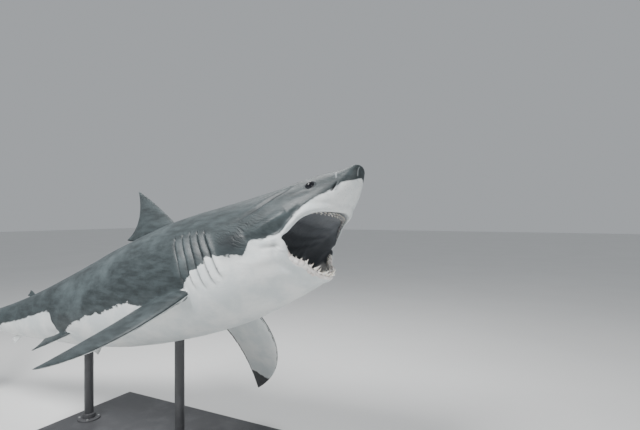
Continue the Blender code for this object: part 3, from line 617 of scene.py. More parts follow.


# Folds on each side of the head: their lines over the skin, how far they stand out or sink in, how wide
# they are, and how dark and how wide the shade painted along them is.
Fold = namedtuple("Fold", "line height width darkness dark_width", defaults=(0.0, 1.0))
FOLDS = {
    "brow": Fold(
        ((0.062, 38.0), (0.084, 41.0), (0.105, 47.0), (0.130, 55.0), (0.165, 62.0)), 0.0080, 0.026,
    ),
    "temple crease": Fold(
        ((0.076, 43.0), (0.0900, 49.0), (0.1092, 53.5), (0.1329, 61.8), (0.1586, 67.5), (0.178, 71.0)),
        -0.0075, 0.014, 0.50, 0.010,
    ),
    "jaw muscle": Fold(((0.0960, 84.0), (0.1080, 86.0), (0.1315, 88.0), (0.1560, 89.5)), 0.0170, 0.024),
    "hollow over the lip": Fold(
        ((0.0780, 88.5), (0.0998, 94.0), (0.1102, 95.2), (0.1360, 97.0)), -0.0130, 0.016, 0.25, 0.016,
    ),
    "fold behind the corner": Fold(((0.1160, 103.5), (0.1280, 101.5), (0.1520, 98.5)), 0.0060, 0.014),
    "corner pleat": Fold(((0.1195, 108.5), (0.1290, 107.0), (0.1440, 103.5)), -0.0060, 0.009, 0.40, 0.007),
    "jaw swell": Fold(((0.122, 117.0), (0.145, 115.0), (0.175, 111.0)), 0.0070, 0.028),
    "nostril": Fold(
        ((0.0400, 106.0), (0.0386, 104.5), (0.0350, 100.5), (0.0325, 95.5), (0.0280, 90.0)),
        -0.0120, 0.0055, 1.0, 0.0066,
    ),
    "nostril flap": Fold(((0.0362, 109.0), (0.0352, 107.0), (0.0312, 101.0), (0.0275, 94.0)), 0.0040, 0.0060),
    "cheek bag": Fold(((0.160, 87.0), (0.180, 90.5), (0.205, 93.0)), 0.0080, 0.040, 0.60, 0.050),
    "under the eye": Fold(((0.060, 71.0), (0.072, 69.0), (0.092, 66.0)), -0.0030, 0.014, 0.15, 0.016),
}
WRINKLE_SPOT = (0.160, 79.0)
SCARS = (
    ((0.0262, -48.0), (0.0268, -60.0), (0.0272, -74.0)),
    ((0.0010, -128.0), (0.0079, -149.0)),
)
SCAR_WIDTH = 0.0026


def gill_relief(back, aside):
    """Return the height of the gill flaps and the painted shade in the slits behind them."""
    height, dark = np.zeros(np.shape(back)), np.zeros(np.shape(back))
    degrees = np.degrees(aside)
    for middle, top, foot in zip(GILL_BACKS, GILL_TOPS, GILL_FEET):
        curve = middle + GILL_LEAN * (92.0 - degrees) * np.where(degrees < 92.0, 1.0, 0.55)
        behind = TOTAL_LENGTH * (back - curve)
        length = smooth_step(top, top + 9.0, degrees) * (1.0 - smooth_step(foot - 9.0, foot, degrees))
        flap = GILL_FLAP_HEIGHT * np.where(behind < 0.0, hump(behind, 0.026), hump(behind, 0.0035))
        past = behind - GILL_SLIT_BEHIND
        slit = -GILL_SLIT_DEPTH * hump(past, 0.0058) - 0.0030 * hump(behind - 0.018, 0.010)
        height = height + length * (flap + slit)
        dark = np.maximum(dark, length * hump(past, 0.0068))
    return height, dark


def wrinkle_relief(back, aside):
    """Return the height of the cheek's fine wrinkles and of the pleats behind the corner of the mouth."""
    spot = np.hypot((back - WRINKLE_SPOT[0]) / 0.028, (np.degrees(aside) - WRINKLE_SPOT[1]) / 13.0)
    bend = 2.0 * np.sin(back * 210.0) + 1.3 * np.sin(aside * 19.0 + back * 90.0)
    wrinkles = 0.0017 * np.sin(aside * 120.0 - 160.0 * back + bend) * hump(spot, 1.0)
    reach = line_distance(back, aside, [(0.116, 106.0), (0.117, 106.0)])
    pleats = 0.0016 * np.sin(reach * 2 * math.pi / 0.017) * hump(reach - 0.035, 0.022)
    return wrinkles + pleats * (back > MOUTH_CORNER_BACK)


def outer_relief(back, aside, before_mouth):
    """Return the height of the skin's folds over the plain body, in metres, and the shade painted into its
    folds.
    """
    upper, lower = line_distance(back, aside, lip_line(True)), line_distance(back, aside, lip_line(False))
    side = 1.0 - smooth_step(112.0, 150.0, np.degrees(aside))
    roll = (0.0060 + 0.0040 * side) * hump(upper - 0.020, 0.015) - 0.0030 * hump(upper - 0.050, 0.010)
    rim = 0.0110 * side * hump(lower - 0.020, 0.018) - 0.0060 * hump(lower - 0.056, 0.014)
    height = np.where(before_mouth, roll, rim * smooth_step(104.0, 112.0, np.degrees(aside)))
    gills, dark = gill_relief(back, aside)
    for fold in FOLDS.values():
        distance, strength = line_distance(back, aside, fold.line, taper=True)
        height = height + fold.height * strength * hump(distance, fold.width)
        dark = np.maximum(dark, fold.darkness * strength * hump(distance, fold.dark_width))
    return height + gills + wrinkle_relief(back, aside), dark


def lining_relief(share, depth):
    """Return the height of the palate's ridges, the gill arches and the tongue, and the arches alone."""
    palate = smooth_step(0.06, 0.10, depth) * (1.0 - smooth_step(0.30, 0.40, depth))
    ridges = 0.0038 * np.sin(depth * 2 * math.pi * 13.0) * palate * (1.0 - smooth_step(0.7, 0.95, share))
    waves = 0.5 + 0.5 * np.cos(2 * math.pi * (share * 4.5 + 0.10))
    throat = np.sin(math.pi * np.clip(depth, 0.0, 1.0)) ** 5 * smooth_step(0.22, 0.38, share)
    arches = waves**4 * throat * (1.0 - smooth_step(0.68, 0.82, share))
    tongue = 0.016 * hump(depth - 0.76, 0.09) * hump(share, 0.60)
    return ridges + 0.014 * arches + tongue, arches


# ---- Skin ---------------------------------------------------------------------------------------------


def body_grid():
    """Return the skin's rings in the world, with the place of each point on the plain body.

    The place is its distance back and angle, whether it lies inside the mouth and how deep, and whether it
    lies before the mouth.
    """
    half = np.radians(spaced(0.0, 180.0, LINE_SPACING))
    half = half[np.abs(half - MOUTH_CORNER_ANGLE) > math.radians(0.4)]
    angles = np.concatenate([half, -half[-2:0:-1]])
    upper, lower = lip_backs(angles)
    in_mouth = lip_share(angles) < 1.0
    end = STATIONS[-1][0]
    snout = (np.arange(0, SNOUT_RINGS + 1)[:, None] / SNOUT_RINGS) ** SNOUT_RING_POWER
    inner = np.arange(1, MOUTH_RINGS)[:, None] / MOUTH_RINGS
    behind = spaced(LOWER_LIP_BACK, end, RING_SPACING, TOTAL_LENGTH)[:, None]
    behind = (behind - LOWER_LIP_BACK) / (end - LOWER_LIP_BACK)
    snout_backs = snout * upper
    outer_backs = upper + (lower - upper) * inner
    tail_backs = lower + (end - lower) * behind
    backs = np.concatenate([snout_backs, outer_backs, tail_backs])
    grid_angles = np.broadcast_to(angles, backs.shape)
    mouth_rows = slice(len(snout), len(snout) + len(inner))
    depth = np.broadcast_to(0.5 * (1.0 - np.cos(math.pi * inner)), outer_backs.shape)
    lining = mouth_point(grid_angles[mouth_rows], depth)
    rings = [
        body_point(snout_backs, grid_angles[: len(snout)]),
        np.where(in_mouth[None, :, None], lining, body_point(outer_backs, grid_angles[mouth_rows])),
        jaw_point(tail_backs, grid_angles[: len(tail_backs)]),
    ]
    inside = np.zeros(backs.shape, dtype=bool)
    inside[mouth_rows] = in_mouth
    depths = np.zeros(backs.shape)
    depths[mouth_rows] = depth
    before = np.arange(len(backs))[:, None] < len(snout) + 0.5 * len(inner)
    before = np.broadcast_to(before, backs.shape)
    return pose(np.concatenate(rings)), backs, grid_angles, inside, depths, before


def outward_normals(points, backs):
    """Return the outward directions of a closed grid of rings round the spine."""
    along = np.gradient(points, axis=0)
    around = np.roll(points, -1, axis=1) - np.roll(points, 1, axis=1)
    normals = np.cross(along, around)
    normals /= np.maximum(np.linalg.norm(normals, axis=-1, keepdims=True), 1e-12)
    middle = len(points) // 2
    from_spine = points[middle] - spine_frame(backs[middle])[0]
    turned_in = np.einsum("ij,ij->i", normals[middle], from_spine).mean() < 0.0
    return -normals if turned_in else normals


def eye_frame(side):
    """Return the centre of an eye and the direction that it looks in."""
    surface = body_point(np.array(EYE_BACK), np.array(side * EYE_ANGLE))
    inner = surface * np.array([1.0, 1.0 - EYE_SUNK / abs(surface[1]), 1.0])
    centre = pose(inner)
    backs, angles = EYE_BACK + np.array([0.0, 0.004, 0.0]), side * EYE_ANGLE + np.array([0.0, 0.0, 0.05])
    around = pose(body_point(backs, angles))
    outward = unit(np.cross(around[1] - around[0], around[2] - around[0]))
    if outward.dot(pose(surface) - centre) < 0.0:
        outward = -outward
    return centre, outward


def eye_relief(points, lid_height):
    """Return the height of the lids and of the socket round each eye, in metres, and the shade painted round
    the eyes.
    """
    height, dark = np.zeros(points.shape[:-1]), np.zeros(points.shape[:-1])
    for side in (LEFT, RIGHT):
        centre, outward = eye_frame(side)
        offset = points - centre
        out = offset @ outward
        across = np.linalg.norm(offset - out[..., None] * outward, axis=-1)
        close = smooth_step(-0.03, 0.0, out) * (np.linalg.norm(offset, axis=-1) < 0.15)
        socket = -SOCKET_DEPTH * (1.0 - smooth_step(*SOCKET_EDGE, across))
        lid = lid_height * hump(across - LID_RADIUS, LID_WIDTH) - 0.0030 * hump(across, 0.055)
        height += close * (socket + lid)
        dark = np.maximum(dark, close * (1.0 - smooth_step(*SOCKET_SHADE, across)))
    return height, dark


def soft_noise(points, scale):
    """Return smooth noise at an array of places."""
    flat = (scale * points).reshape(-1, 3)
    return np.array([noise.noise(Vector(place)) for place in flat]).reshape(points.shape[:-1])


def gum_share(back, aside, inside, depth, before_mouth):
    """Return how much of the skin is the bare gum that covers the rim of the lower jaw, from 0 to 1."""
    down = line_distance(back, aside, lip_line(False))
    share = lip_share(aside)
    front = 1.0 - smooth_step(0.60, 0.86, share)
    outside = front * (1.0 - smooth_step(0.008, 0.020, down))
    return np.where(inside, front * smooth_step(0.72, 0.92, depth), np.where(before_mouth, 0.0, outside))


def scar_share(back, angle):
    """Return how much of the skin is an old scratch, from 0 to 1."""
    turned = np.mod(angle + math.pi, 2 * math.pi) - math.pi
    return np.max([hump(line_distance(back, turned, line), SCAR_WIDTH) for line in SCARS], axis=0)


def skin_body(lid_height, fold_strength):
    """Return the body's points and the numbers that its finish reads at them."""
    points, backs, angles, inside, depths, before = body_grid()
    aside = np.abs(np.mod(angles + math.pi, 2 * math.pi) - math.pi)
    share = lip_share(angles)
    folds, fold_shade = outer_relief(backs, aside, before)
    lids, eye_shade = eye_relief(points, lid_height)
    lining, arches = lining_relief(share, depths)
    height = np.where(inside, lining, folds * fold_strength + lids)
    height += np.where(inside, 0.0012, 0.0009) * soft_noise(points, 9.0)
    settle = smooth_step(0.0, 0.006, backs)
    points = points + (height * settle)[..., None] * outward_normals(points, backs)
    edge = np.radians(np.interp(backs, *zip(*WATERLINE)))
    waterline = (aside - edge) * np.maximum(round_radius(backs, aside), 0.02)
    # Painted shade: the lining darkens with depth into the mouth, and less on the gill arches' crests, as if
    # lit.
    depth_shade = np.sin(math.pi * depths) ** 0.5 * (1.0 - 0.40 * arches)
    spot_back, spot_angle = WRINKLE_SPOT
    cheek = np.hypot((backs - spot_back) / 0.036, (np.degrees(aside) - spot_angle) / 13.0)
    values = {
        "waterline": np.where(inside, 0.15, waterline - 0.08 * (1.0 - smooth_step(0.003, 0.010, backs))),
        "mouth": np.where(inside, depth_shade * np.clip(150.0 * (0.998 - share), 0.0, 1.0), 0.0),
        "gum": gum_share(backs, aside, inside, depths, before),
        "scar": scar_share(backs, angles),
        # Painted shade in the folds, gill slits and nostrils, and round the eyes.
        "crease_shade": np.where(inside, 0.0, np.maximum(fold_shade, eye_shade)),
        "black": np.full(backs.shape, NEVER),
        "fin": np.zeros(backs.shape),
        "ray": 0.24 * aside + 2.0 * backs,
        "wrinkle": np.where(inside, 0.0, hump(cheek, 1.0)),
        "pores": np.where(inside, 0.0, hump(backs, 0.075)),
        "back": backs,
    }
    return points, values


def bezier(start, control, end, t):
    """Return points of a curve from start to end that bends towards a control point."""
    start, control, end = (np.array(point) for point in (start, control, end))
    return (1 - t) ** 2 * start + 2 * t * (1 - t) * control + t * t * end


def fin_outline(fin, share):
    """Return a fin's front and rear points, (back, out), at shares of its span from base to tip."""
    s = share[:, None]
    front = bezier((0.0, 0.0), fin["front_control"], fin["tip"], s)
    rear_tip_share = fin["rear_tip_share"]
    base_end, rear_tip = np.array((fin["base"], 0.0)), np.array(fin["rear_tip"])
    inner = base_end + (rear_tip - base_end) * np.clip(s / rear_tip_share, 0.0, 1.0)
    past_rear_tip = np.clip((s - rear_tip_share) / (1 - rear_tip_share), 0, 1)
    hind = bezier(rear_tip, fin["rear_control"], fin["tip"], past_rear_tip)
    rear = np.where(s < rear_tip_share, inner, hind)
    notch = NOTCH_DEPTH * hump(share - fin.get("notch", FAR), NOTCH_WIDTH)
    inset = notch + EDGE_RAGGEDNESS * np.sin(share * 83.0) * np.sin(share * 31.0)
    inset = inset * smooth_step(0.0, 0.3, share) * (1.0 - smooth_step(0.93, 1.0, share))
    return front, rear - (rear - front) * inset[:, None]


def fin_section(columns):
    """Return the chord shares and thickness shares of a fin's section, round from the front edge and back."""
    shares = np.linspace(0.0, 1.0, columns) ** 1.6
    thickness = 2.6 * np.sqrt(shares) * (1.0 - shares) + EDGE_SHARE * shares
    return np.concatenate([shares, shares[:0:-1]]), np.concatenate([thickness, -thickness[:0:-1]])


def fin_rings(fin):
    """Return a fin's sections as (back, out, aside), with the span and chord shares of their points."""
    spans = np.concatenate([[0.0], np.linspace(0.0, 1.0, fin["rows"]) ** 0.95])
    front, rear = fin_outline(fin, spans)
    root = np.array(fin.get("root_shift", (0.0, 1.0))) * fin["root_depth"]
    front[0] -= root
    rear[0] -= root
    if not fin["root_depth"]:
        spans, front, rear = spans[1:], front[1:], rear[1:]
    chord, offset = fin_section(fin["columns"])
    half = 0.5 * (fin["thickness"] + (fin["tip_thickness"] - fin["thickness"]) * spans)
    half = half * np.sqrt(np.clip(1.0 - np.clip((spans - 0.94) / 0.06, 0.0, 1.0) ** 2, 0.0, 1.0))
    flat = front[:, None] + (rear - front)[:, None] * chord[None, :, None]
    aside = half[:, None] * offset[None]
    spans = np.broadcast_to(spans[:, None], aside.shape)
    return np.concatenate([flat, aside[..., None]], axis=-1), spans, np.broadcast_to(chord, aside.shape)


def fin_values(fin, rings, spans, chords, kind):
    """Return the numbers stored at a fin's points."""
    out = TOTAL_LENGTH * rings[..., 1]
    upper_face = rings[..., 2] >= 0.0
    tip_out = TOTAL_LENGTH * fin["tip"][1]
    width = TOTAL_LENGTH * fin["base"]
    pale = np.full(out.shape, 0.03 if kind == "anal" else -0.10)
    if kind in ("pectoral", "pelvic"):
        pale = np.where(upper_face, -0.06, 0.06)
    black = np.full(out.shape, NEVER)
    if kind == "pectoral":
        tip_patch = out - 0.80 * tip_out + 0.10 * (chords - 0.5)
        edges = np.maximum((chords - 0.955) * 4.0 * width, (0.012 - chords) * 4.0 * width)
        black = np.where(upper_face, NEVER, np.maximum(tip_patch, edges * (spans > 0.1)))
    return {
        **dict.fromkeys(NOT_ON_FINS, np.zeros(out.shape)),
        "waterline": pale,
        "black": black,
        "fin": smooth_step(0.01, 0.12, out / tip_out),
        "ray": chords * width * (1.0 - 0.35 * spans),
        "back": fin["back"] + rings[..., 0],
    }


def median_fin_points(fin, rings):
    """Return the world places of a fin that stands on the body's middle plane."""
    back, out, aside = (rings[..., i] for i in range(3))
    return pose(np.stack([fin["back"] + back, aside, fin["level"] + fin["direction"] * out], axis=-1))


def paired_fin_points(fin, rings, side):
    """Return the world places of one of a pair of fins, swept and drooped from its origin on the flank."""
    sweep, droop, drawn = fin["sweep"][side], fin["droop"][side], fin["drawn_sweep"]
    origin = pose(np.array([fin["back"], side * fin["left"], fin["level"]]))
    forward, left, up = spine_frame(np.array(fin["back"]))[1:]
    outward = side * math.cos(droop) * left - math.sin(droop) * up
    normal = math.cos(droop) * up + side * math.sin(droop) * left
    tipward = math.cos(sweep) * outward - math.sin(sweep) * forward
    across = -math.sin(sweep) * outward - math.cos(sweep) * forward
    back, out, aside = (rings[..., i : i + 1] for i in range(3))
    twist = fin["twist"][side] + fin.get("tip_twist", 0.0) * np.clip(out / fin["tip"][1], 0.0, 1.0) ** 2
    across, normal = (
        np.cos(twist) * across + np.sin(twist) * normal,
        np.cos(twist) * normal - np.sin(twist) * across,
    )
    along = out * math.cos(drawn) + back * math.sin(drawn)
    behind = back * math.cos(drawn) - out * math.sin(drawn)
    return origin + TOTAL_LENGTH * (tipward * along + across * behind + normal * aside)


def all_fins():
    """Yield each fin's kind, world points and stored numbers."""
    for kind, fin in MEDIAN_FINS:
        rings, spans, chords = fin_rings(fin)
        yield kind, median_fin_points(fin, rings), fin_values(fin, rings, spans, chords, kind)
    for side in (LEFT, RIGHT):
        for kind, fin in PAIRED_FINS:
            rings, spans, chords = fin_rings(fin)
            yield kind, paired_fin_points(fin, rings, side), fin_values(fin, rings, spans, chords, kind)


def tree_of(mesh):
    """Return a search tree of a mesh's surface."""
    work = bmesh.new()
    work.from_mesh(mesh)
    tree = BVHTree.FromBMesh(work)
    work.free()
    return tree


def seam_closeness(place, body_tree, fin_trees):
    """Return how near a place is to both the body and a fin: 0 on the seam, and 1 or more off its band."""
    to_fin, reach = FAR, 0.0
    for tree, width in fin_trees:
        distance = tree.find_nearest(place, width)[3]
        if distance is not None and distance / width < to_fin:
            to_fin, reach = distance / width, width
    to_body = body_tree.find_nearest(place, reach)[3] if to_fin < 1.0 else None
    return FAR if to_body is None else to_fin + to_body / reach


def blend_seams(mesh, body_tree, fin_trees):
    """Round off the seams between the body and its fins."""
    closeness = [seam_closeness(vertex.co, body_tree, fin_trees) for vertex in mesh.vertices]
    with edited(mesh) as work:
        for limit in np.linspace(1.0, 0.35, 9):
            relax(work, [work.verts[index] for index, value in enumerate(closeness) if value < limit])


def lip_vertices(work, layer):
    """Return the vertices on the edges of the mouth."""
    return [vertex for vertex in work.verts if any(
        (vertex[layer] > 0.0) != (edge.other_vert(vertex)[layer] > 0.0) for edge in vertex.link_edges
    )]


def soften_lips(mesh):
    """Round the edges of the lips and settle the folds in the corners of the mouth."""
    with edited(mesh) as work:
        ring = set(lip_vertices(work, work.verts.layers.float["mouth"]))
        for _ in range(2):
            ring |= {edge.other_vert(vertex) for vertex in ring for edge in vertex.link_edges}
        rings = [list(ring)] * 4
        for side in (LEFT, RIGHT):
            corner = pose(body_point(np.array(MOUTH_CORNER_BACK), np.array(side * MOUTH_CORNER_ANGLE)))
            around = [(vertex, (vertex.co - Vector(corner)).length) for vertex in work.verts]
            for reach in np.linspace(0.045, 0.018, 10):
                rings.append([vertex for vertex, distance in around if distance < reach])
        for vertices in rings:
            relax(work, vertices)


def build_skin(settings):
    """Make the skin of the whole shark as one closed piece."""
    points, values = skin_body(settings.lid_height, settings.fold_strength)
    body_mesh = grid_mesh("body", points)
    body, body_tree = add_piece("body", body_mesh), tree_of(body_mesh)
    sources, fins, fin_trees = [(points, values)], [], []
    for kind, fin_points, fin_numbers in all_fins():
        fin_mesh = grid_mesh("fin", fin_points)
        fins.append(add_piece("fin", fin_mesh))
        fin_trees.append((tree_of(fin_mesh), SEAM_WIDTHS[kind]))
        sources.append((fin_points, fin_numbers))
    mesh = joined(body, fins)
    with edited(mesh) as work:
        bmesh.ops.dissolve_degenerate(work, dist=2e-4, edges=work.edges[:])
        bmesh.ops.triangulate(work, faces=[face for face in work.faces if len(face.verts) > 4])
    store_values(mesh, sources)
    blend_seams(mesh, body_tree, fin_trees)
    soften_lips(mesh)
    skin = add_piece("skin", mesh, skin_material(settings))
    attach(skin, "root")
    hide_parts(*SKIN_NODES)


def store_values(mesh, sources):
    """Give each vertex the numbers of the nearest point that the skin was drawn from."""
    places = np.concatenate([points.reshape(-1, 3) for points, _ in sources])
    tree = KDTree(len(places))
    for index, place in enumerate(places):
        tree.insert(place, index)
    tree.balance()
    nearest = np.array([tree.find(vertex.co)[1] for vertex in mesh.vertices])
    for name in sources[0][1]:
        numbers = np.concatenate([numbers[name].reshape(-1) for _, numbers in sources])
        write_values(mesh, name, numbers[nearest])


# ---- Materials ----------------------------------------------------------------------------------------


class Nodes:
    """Adds nodes to a tree with their values and links in one call."""

    def __init__(self, tree):
        self.tree = tree

    def fill(self, node, inputs):
        """Give inputs of a node their values or links."""
        for key, value in inputs.items():
            if isinstance(value, bpy.types.NodeSocket):
                self.tree.links.new(value, node.inputs[key])
            else:
                node.inputs[key].default_value = value

    def add(self, kind, inputs=None, **settings):
        node = self.tree.nodes.new(kind)
        for key, value in settings.items():
            setattr(node, key, value)
        self.fill(node, inputs or {})
        return node

    def math(self, operation, a, b=0.0, c=0.0):
        return self.add("ShaderNodeMath", {0: a, 1: b, 2: c}, operation=operation).outputs[0]

    def times(self, first, *others):
        for other in others:
            first = self.math("MULTIPLY", first, other)
        return first

    def inverse(self, share):
        """Return 1 where a share is 0, and 0 where it is 1."""
        return self.math("SUBTRACT", 1.0, share)

    def jitter(self, noise, amount):
        """Return noise scaled to an amount and centred on zero."""
        return self.math("MULTIPLY_ADD", noise, amount, -0.5 * amount)

    def ramp(self, value, low, high):
        node = self.add("ShaderNodeMapRange", {"Value": value, "From Min": low, "From Max": high})
        node.interpolation_type = "SMOOTHSTEP"
        return node.outputs["Result"]

    def mix(self, factor, a, b):
        """Return colour a where the factor is 0 and colour b where it is 1."""
        node = self.add("ShaderNodeMix", {0: factor}, data_type="RGBA")
        colours = [c if isinstance(c, bpy.types.NodeSocket) else (*c[:3], 1.0) for c in (a, b)]
        self.fill(node, {6: colours[0], 7: colours[1]})
        return node.outputs[2]

    def value(self, name):
        """Return a number that is stored on the mesh."""
        return self.add("ShaderNodeAttribute", attribute_name=name).outputs["Fac"]

    def noise(self, vector, scale, detail=4.0, rough=0.55):
        inputs = {"Vector": vector, "Scale": scale, "Detail": detail, "Roughness": rough}
        return self.add("ShaderNodeTexNoise", inputs).outputs["Fac"]

    def cells(self, vector, scale, randomness=1.0, feature="F1"):
        inputs = {"Vector": vector, "Scale": scale, "Randomness": randomness}
        return self.add("ShaderNodeTexVoronoi", inputs, feature=feature).outputs["Distance"]

    def bump(self, height, distance, strength):
        inputs = {"Height": height, "Distance": distance, "Strength": strength}
        return self.add("ShaderNodeBump", inputs).outputs[0]


def tinted(colour, *factors):
    """Return a colour multiplied by one factor, or by a factor each for red, green and blue."""
    factors = factors * 3 if len(factors) == 1 else factors
    return tuple(min(1.0, channel * factor) for channel, factor in zip(colour, factors))


def new_material(name):
    """Return an empty material with its node helper, its shader and its Object coordinates."""
    made = bpy.data.materials.new(name)
    made.use_nodes = True
    made.node_tree.nodes.clear()
    nodes = Nodes(made.node_tree)
    shader = nodes.add("ShaderNodeBsdfPrincipled")
    nodes.add("ShaderNodeOutputMaterial", {"Surface": shader.outputs[0]})
    place = nodes.add("ShaderNodeTexCoord").outputs["Object"]
    return made, nodes, shader, place


def grain_group():
    """Return the node group that gives fine and coarse variation to every finish."""
    found = bpy.data.node_groups.get("Grain")
    if found:
        return found
    group = bpy.data.node_groups.new("Grain", "ShaderNodeTree")
    group.interface.new_socket("Vector", in_out="INPUT", socket_type="NodeSocketVector")
    scale = group.interface.new_socket("Scale", in_out="INPUT", socket_type="NodeSocketFloat")
    scale.default_value = 10.0
    group.interface.new_socket("Coarse", in_out="OUTPUT", socket_type="NodeSocketFloat")
    group.interface.new_socket("Fine", in_out="OUTPUT", socket_type="NodeSocketFloat")
    nodes = Nodes(group)
    start = nodes.add("NodeGroupInput")
    end = nodes.add("NodeGroupOutput")
    coarse = nodes.noise(start.outputs["Vector"], start.outputs["Scale"], 5.0, 0.6)
    fine = nodes.noise(start.outputs["Vector"], nodes.times(start.outputs["Scale"], 14.0), 3.0, 0.7)
    group.links.new(coarse, end.inputs["Coarse"])
    group.links.new(fine, end.inputs["Fine"])
    return group


def grain(nodes, place, scale):
    """Return the coarse and fine variation at a place."""
    node = nodes.add("ShaderNodeGroup", node_tree=grain_group())
    nodes.fill(node, {"Vector": place, "Scale": scale})
    return node.outputs["Coarse"], node.outputs["Fine"]


def stretched(nodes, place, scale):
    """Return coordinates turned along the trunk and stretched."""
    mapping = nodes.add("ShaderNodeMapping", {"Vector": place, "Scale": scale})
    mapping.inputs["Rotation"].default_value = (0.0, TRUNK_PITCH, math.radians(4.0))
    return mapping.outputs["Vector"]


def waterline_share(nodes, place):
    """Return 0 on the grey skin over the ragged waterline and 1 on the pale skin under it."""
    noise_place = stretched(nodes, place, (3.0, 5.0, 5.0))
    ragged = nodes.jitter(nodes.noise(noise_place, 5.5, 7.0, 0.62), 0.085)
    behind_head = nodes.ramp(nodes.value("back"), 0.11, 0.17)
    shift = nodes.times(ragged, nodes.math("MULTIPLY_ADD", behind_head, 0.72, 0.28))
    return nodes.ramp(nodes.math("ADD", nodes.value("waterline"), shift), -0.0045, 0.0055)


def slate_grey(nodes, place, streaks, back_colour):
    """Return the colour of the back: streaked and blotched, with faint scratches."""
    dark, light = tinted(back_colour, 0.48), tinted(back_colour, 1.75)
    grey = nodes.mix(nodes.ramp(streaks, 0.33, 0.70), dark, back_colour)
    grey = nodes.mix(nodes.ramp(nodes.noise(place, 2.6, 5.0, 0.6), 0.50, 0.78), grey, light)
    scratch = nodes.cells(stretched(nodes, place, (1.3, 16.0, 10.0)), 2.1, feature="DISTANCE_TO_EDGE")
    here_and_there = nodes.ramp(nodes.noise(place, 4.0, 2.0), 0.56, 0.64)
    scratches = nodes.times(nodes.inverse(nodes.ramp(scratch, 0.0, 0.022)), here_and_there, 0.18)
    return nodes.mix(scratches, grey, light)


def shaded_mouth_lining(nodes, coarse, shaded_mouth_colour):
    """Return the colour of the mouth's lining, with painted shade that deepens towards the throat."""
    lining = nodes.mix(nodes.ramp(coarse, 0.3, 0.7), shaded_mouth_colour, tinted(shaded_mouth_colour, 0.72))
    return nodes.mix(nodes.ramp(nodes.value("mouth"), 0.45, 1.0), lining, tinted(shaded_mouth_colour, 0.55))


def bare_gum(nodes, place, gum_colour):
    """Return the colour of the bare gum, its pebbles, and how much of the skin it covers."""
    pebbles = nodes.cells(place, 62.0)
    here_and_there = nodes.ramp(nodes.noise(place, 34.0, 3.0), 0.38, 0.52)
    # Painted shade in the hollows between the gum's pebbles, here and there.
    pebble_gap_shade = nodes.times(nodes.ramp(pebbles, 0.42, 0.66), here_and_there, 0.20)
    redder = nodes.ramp(nodes.noise(place, 24.0, 4.0), 0.45, 0.75)
    gum = nodes.mix(redder, gum_colour, tinted(gum_colour, 0.86, 0.82, 0.80))
    gum = nodes.mix(pebble_gap_shade, gum, GUM_GAP_SHADE_COLOUR)
    edge = nodes.jitter(nodes.noise(place, 45.0, 4.0), 0.4)
    return gum, pebbles, nodes.ramp(nodes.math("ADD", nodes.value("gum"), edge), 0.15, 0.75)


def wrinkle_lines(nodes, place):
    """Return the broken lines of the wrinkles on the cheek."""
    bent = nodes.math("MULTIPLY_ADD", nodes.noise(place, 7.0, 3.0), 0.10, nodes.value("ray"))
    waves = nodes.math("SINE", nodes.times(bent, 2 * math.pi / WRINKLE_SPACING))
    broken = nodes.times(nodes.ramp(nodes.noise(place, 16.0, 3.0), 0.38, 0.62), nodes.value("wrinkle"))
    return nodes.times(nodes.ramp(waves, 0.30, 0.95), broken)


def skin_height(nodes, streaks, fine, hollows):
    """Return the height, in metres, of the skin's streaks and grain, its fin rays and its hollows."""
    rays = nodes.math("SINE", nodes.times(nodes.value("ray"), 2 * math.pi / FIN_RAY_SPACING))
    rays = nodes.times(rays, nodes.times(nodes.value("fin"), 0.0004))
    height = nodes.math("ADD", nodes.times(streaks, 0.0030), rays)
    height = nodes.math("ADD", height, nodes.times(fine, 0.0012))
    for hollow, depth in hollows:
        height = nodes.math("SUBTRACT", height, nodes.times(hollow, depth))
    return height


def skin_material(settings):
    """Return the skin's finish: slate grey over white, with markings, and painted shade in folds and mouth.
    """
    made, nodes, shader, place = new_material("shark_skin_finish")
    coarse, fine = grain(nodes, place, 6.0)
    streaks = nodes.noise(stretched(nodes, place, (2.2, 9.0, 9.0)), 3.2, 7.0, 0.66)
    grey = slate_grey(nodes, place, streaks, settings.back_colour)
    belly_shade = tinted(settings.belly_colour, 0.80, 0.84, 0.86)
    belly = nodes.mix(nodes.ramp(coarse, 0.35, 0.65), belly_shade, settings.belly_colour)
    pores = nodes.inverse(nodes.ramp(nodes.cells(place, 105.0, 0.9), 0.10, 0.22))
    pores = nodes.times(pores, nodes.value("pores"))
    black = nodes.math("ADD", nodes.value("black"), nodes.jitter(nodes.noise(place, 22.0, 4.0), 0.05))
    gum, pebbles, bare = bare_gum(nodes, place, settings.gum_colour)
    wrinkles = wrinkle_lines(nodes, place)
    colour = nodes.mix(waterline_share(nodes, place), grey, belly)
    for cover, layer in (
        (nodes.times(pores, 0.55), PORE_COLOUR),
        (nodes.ramp(black, -0.006, 0.010), FIN_TIP_COLOUR),
        # The mouth's lining, with painted shade that deepens towards the throat.
        (nodes.ramp(nodes.value("mouth"), 0.02, 0.20), shaded_mouth_lining(nodes, coarse, settings.shaded_mouth_colour)),
        (bare, gum),
        (nodes.times(nodes.value("scar"), 0.55), SCAR_COLOUR),
        # Painted shade in the folds, gill slits and nostrils, and round the eyes.
        (nodes.times(nodes.value("crease_shade"), 0.92), CREASE_SHADE_COLOUR),
        # Painted shade in the grooves of the cheek's wrinkles.
        (nodes.times(wrinkles, 0.60), WRINKLE_SHADE_COLOUR),
    ):
        colour = nodes.mix(cover, colour, layer)
    hollows = ((pores, 0.0015), (wrinkles, 0.0030), (nodes.times(pebbles, bare), 0.0025))
    nodes.fill(shader, {
        "Base Color": colour,
        "Roughness": nodes.math("MULTIPLY_ADD", fine, 0.22, 0.36),
        "Specular IOR Level": 0.25,
        "Coat Weight": 0.10,
        "Coat Roughness": 0.25,
        "Normal": nodes.bump(skin_height(nodes, streaks, fine, hollows), 1.0, 0.8),
    })
    return made


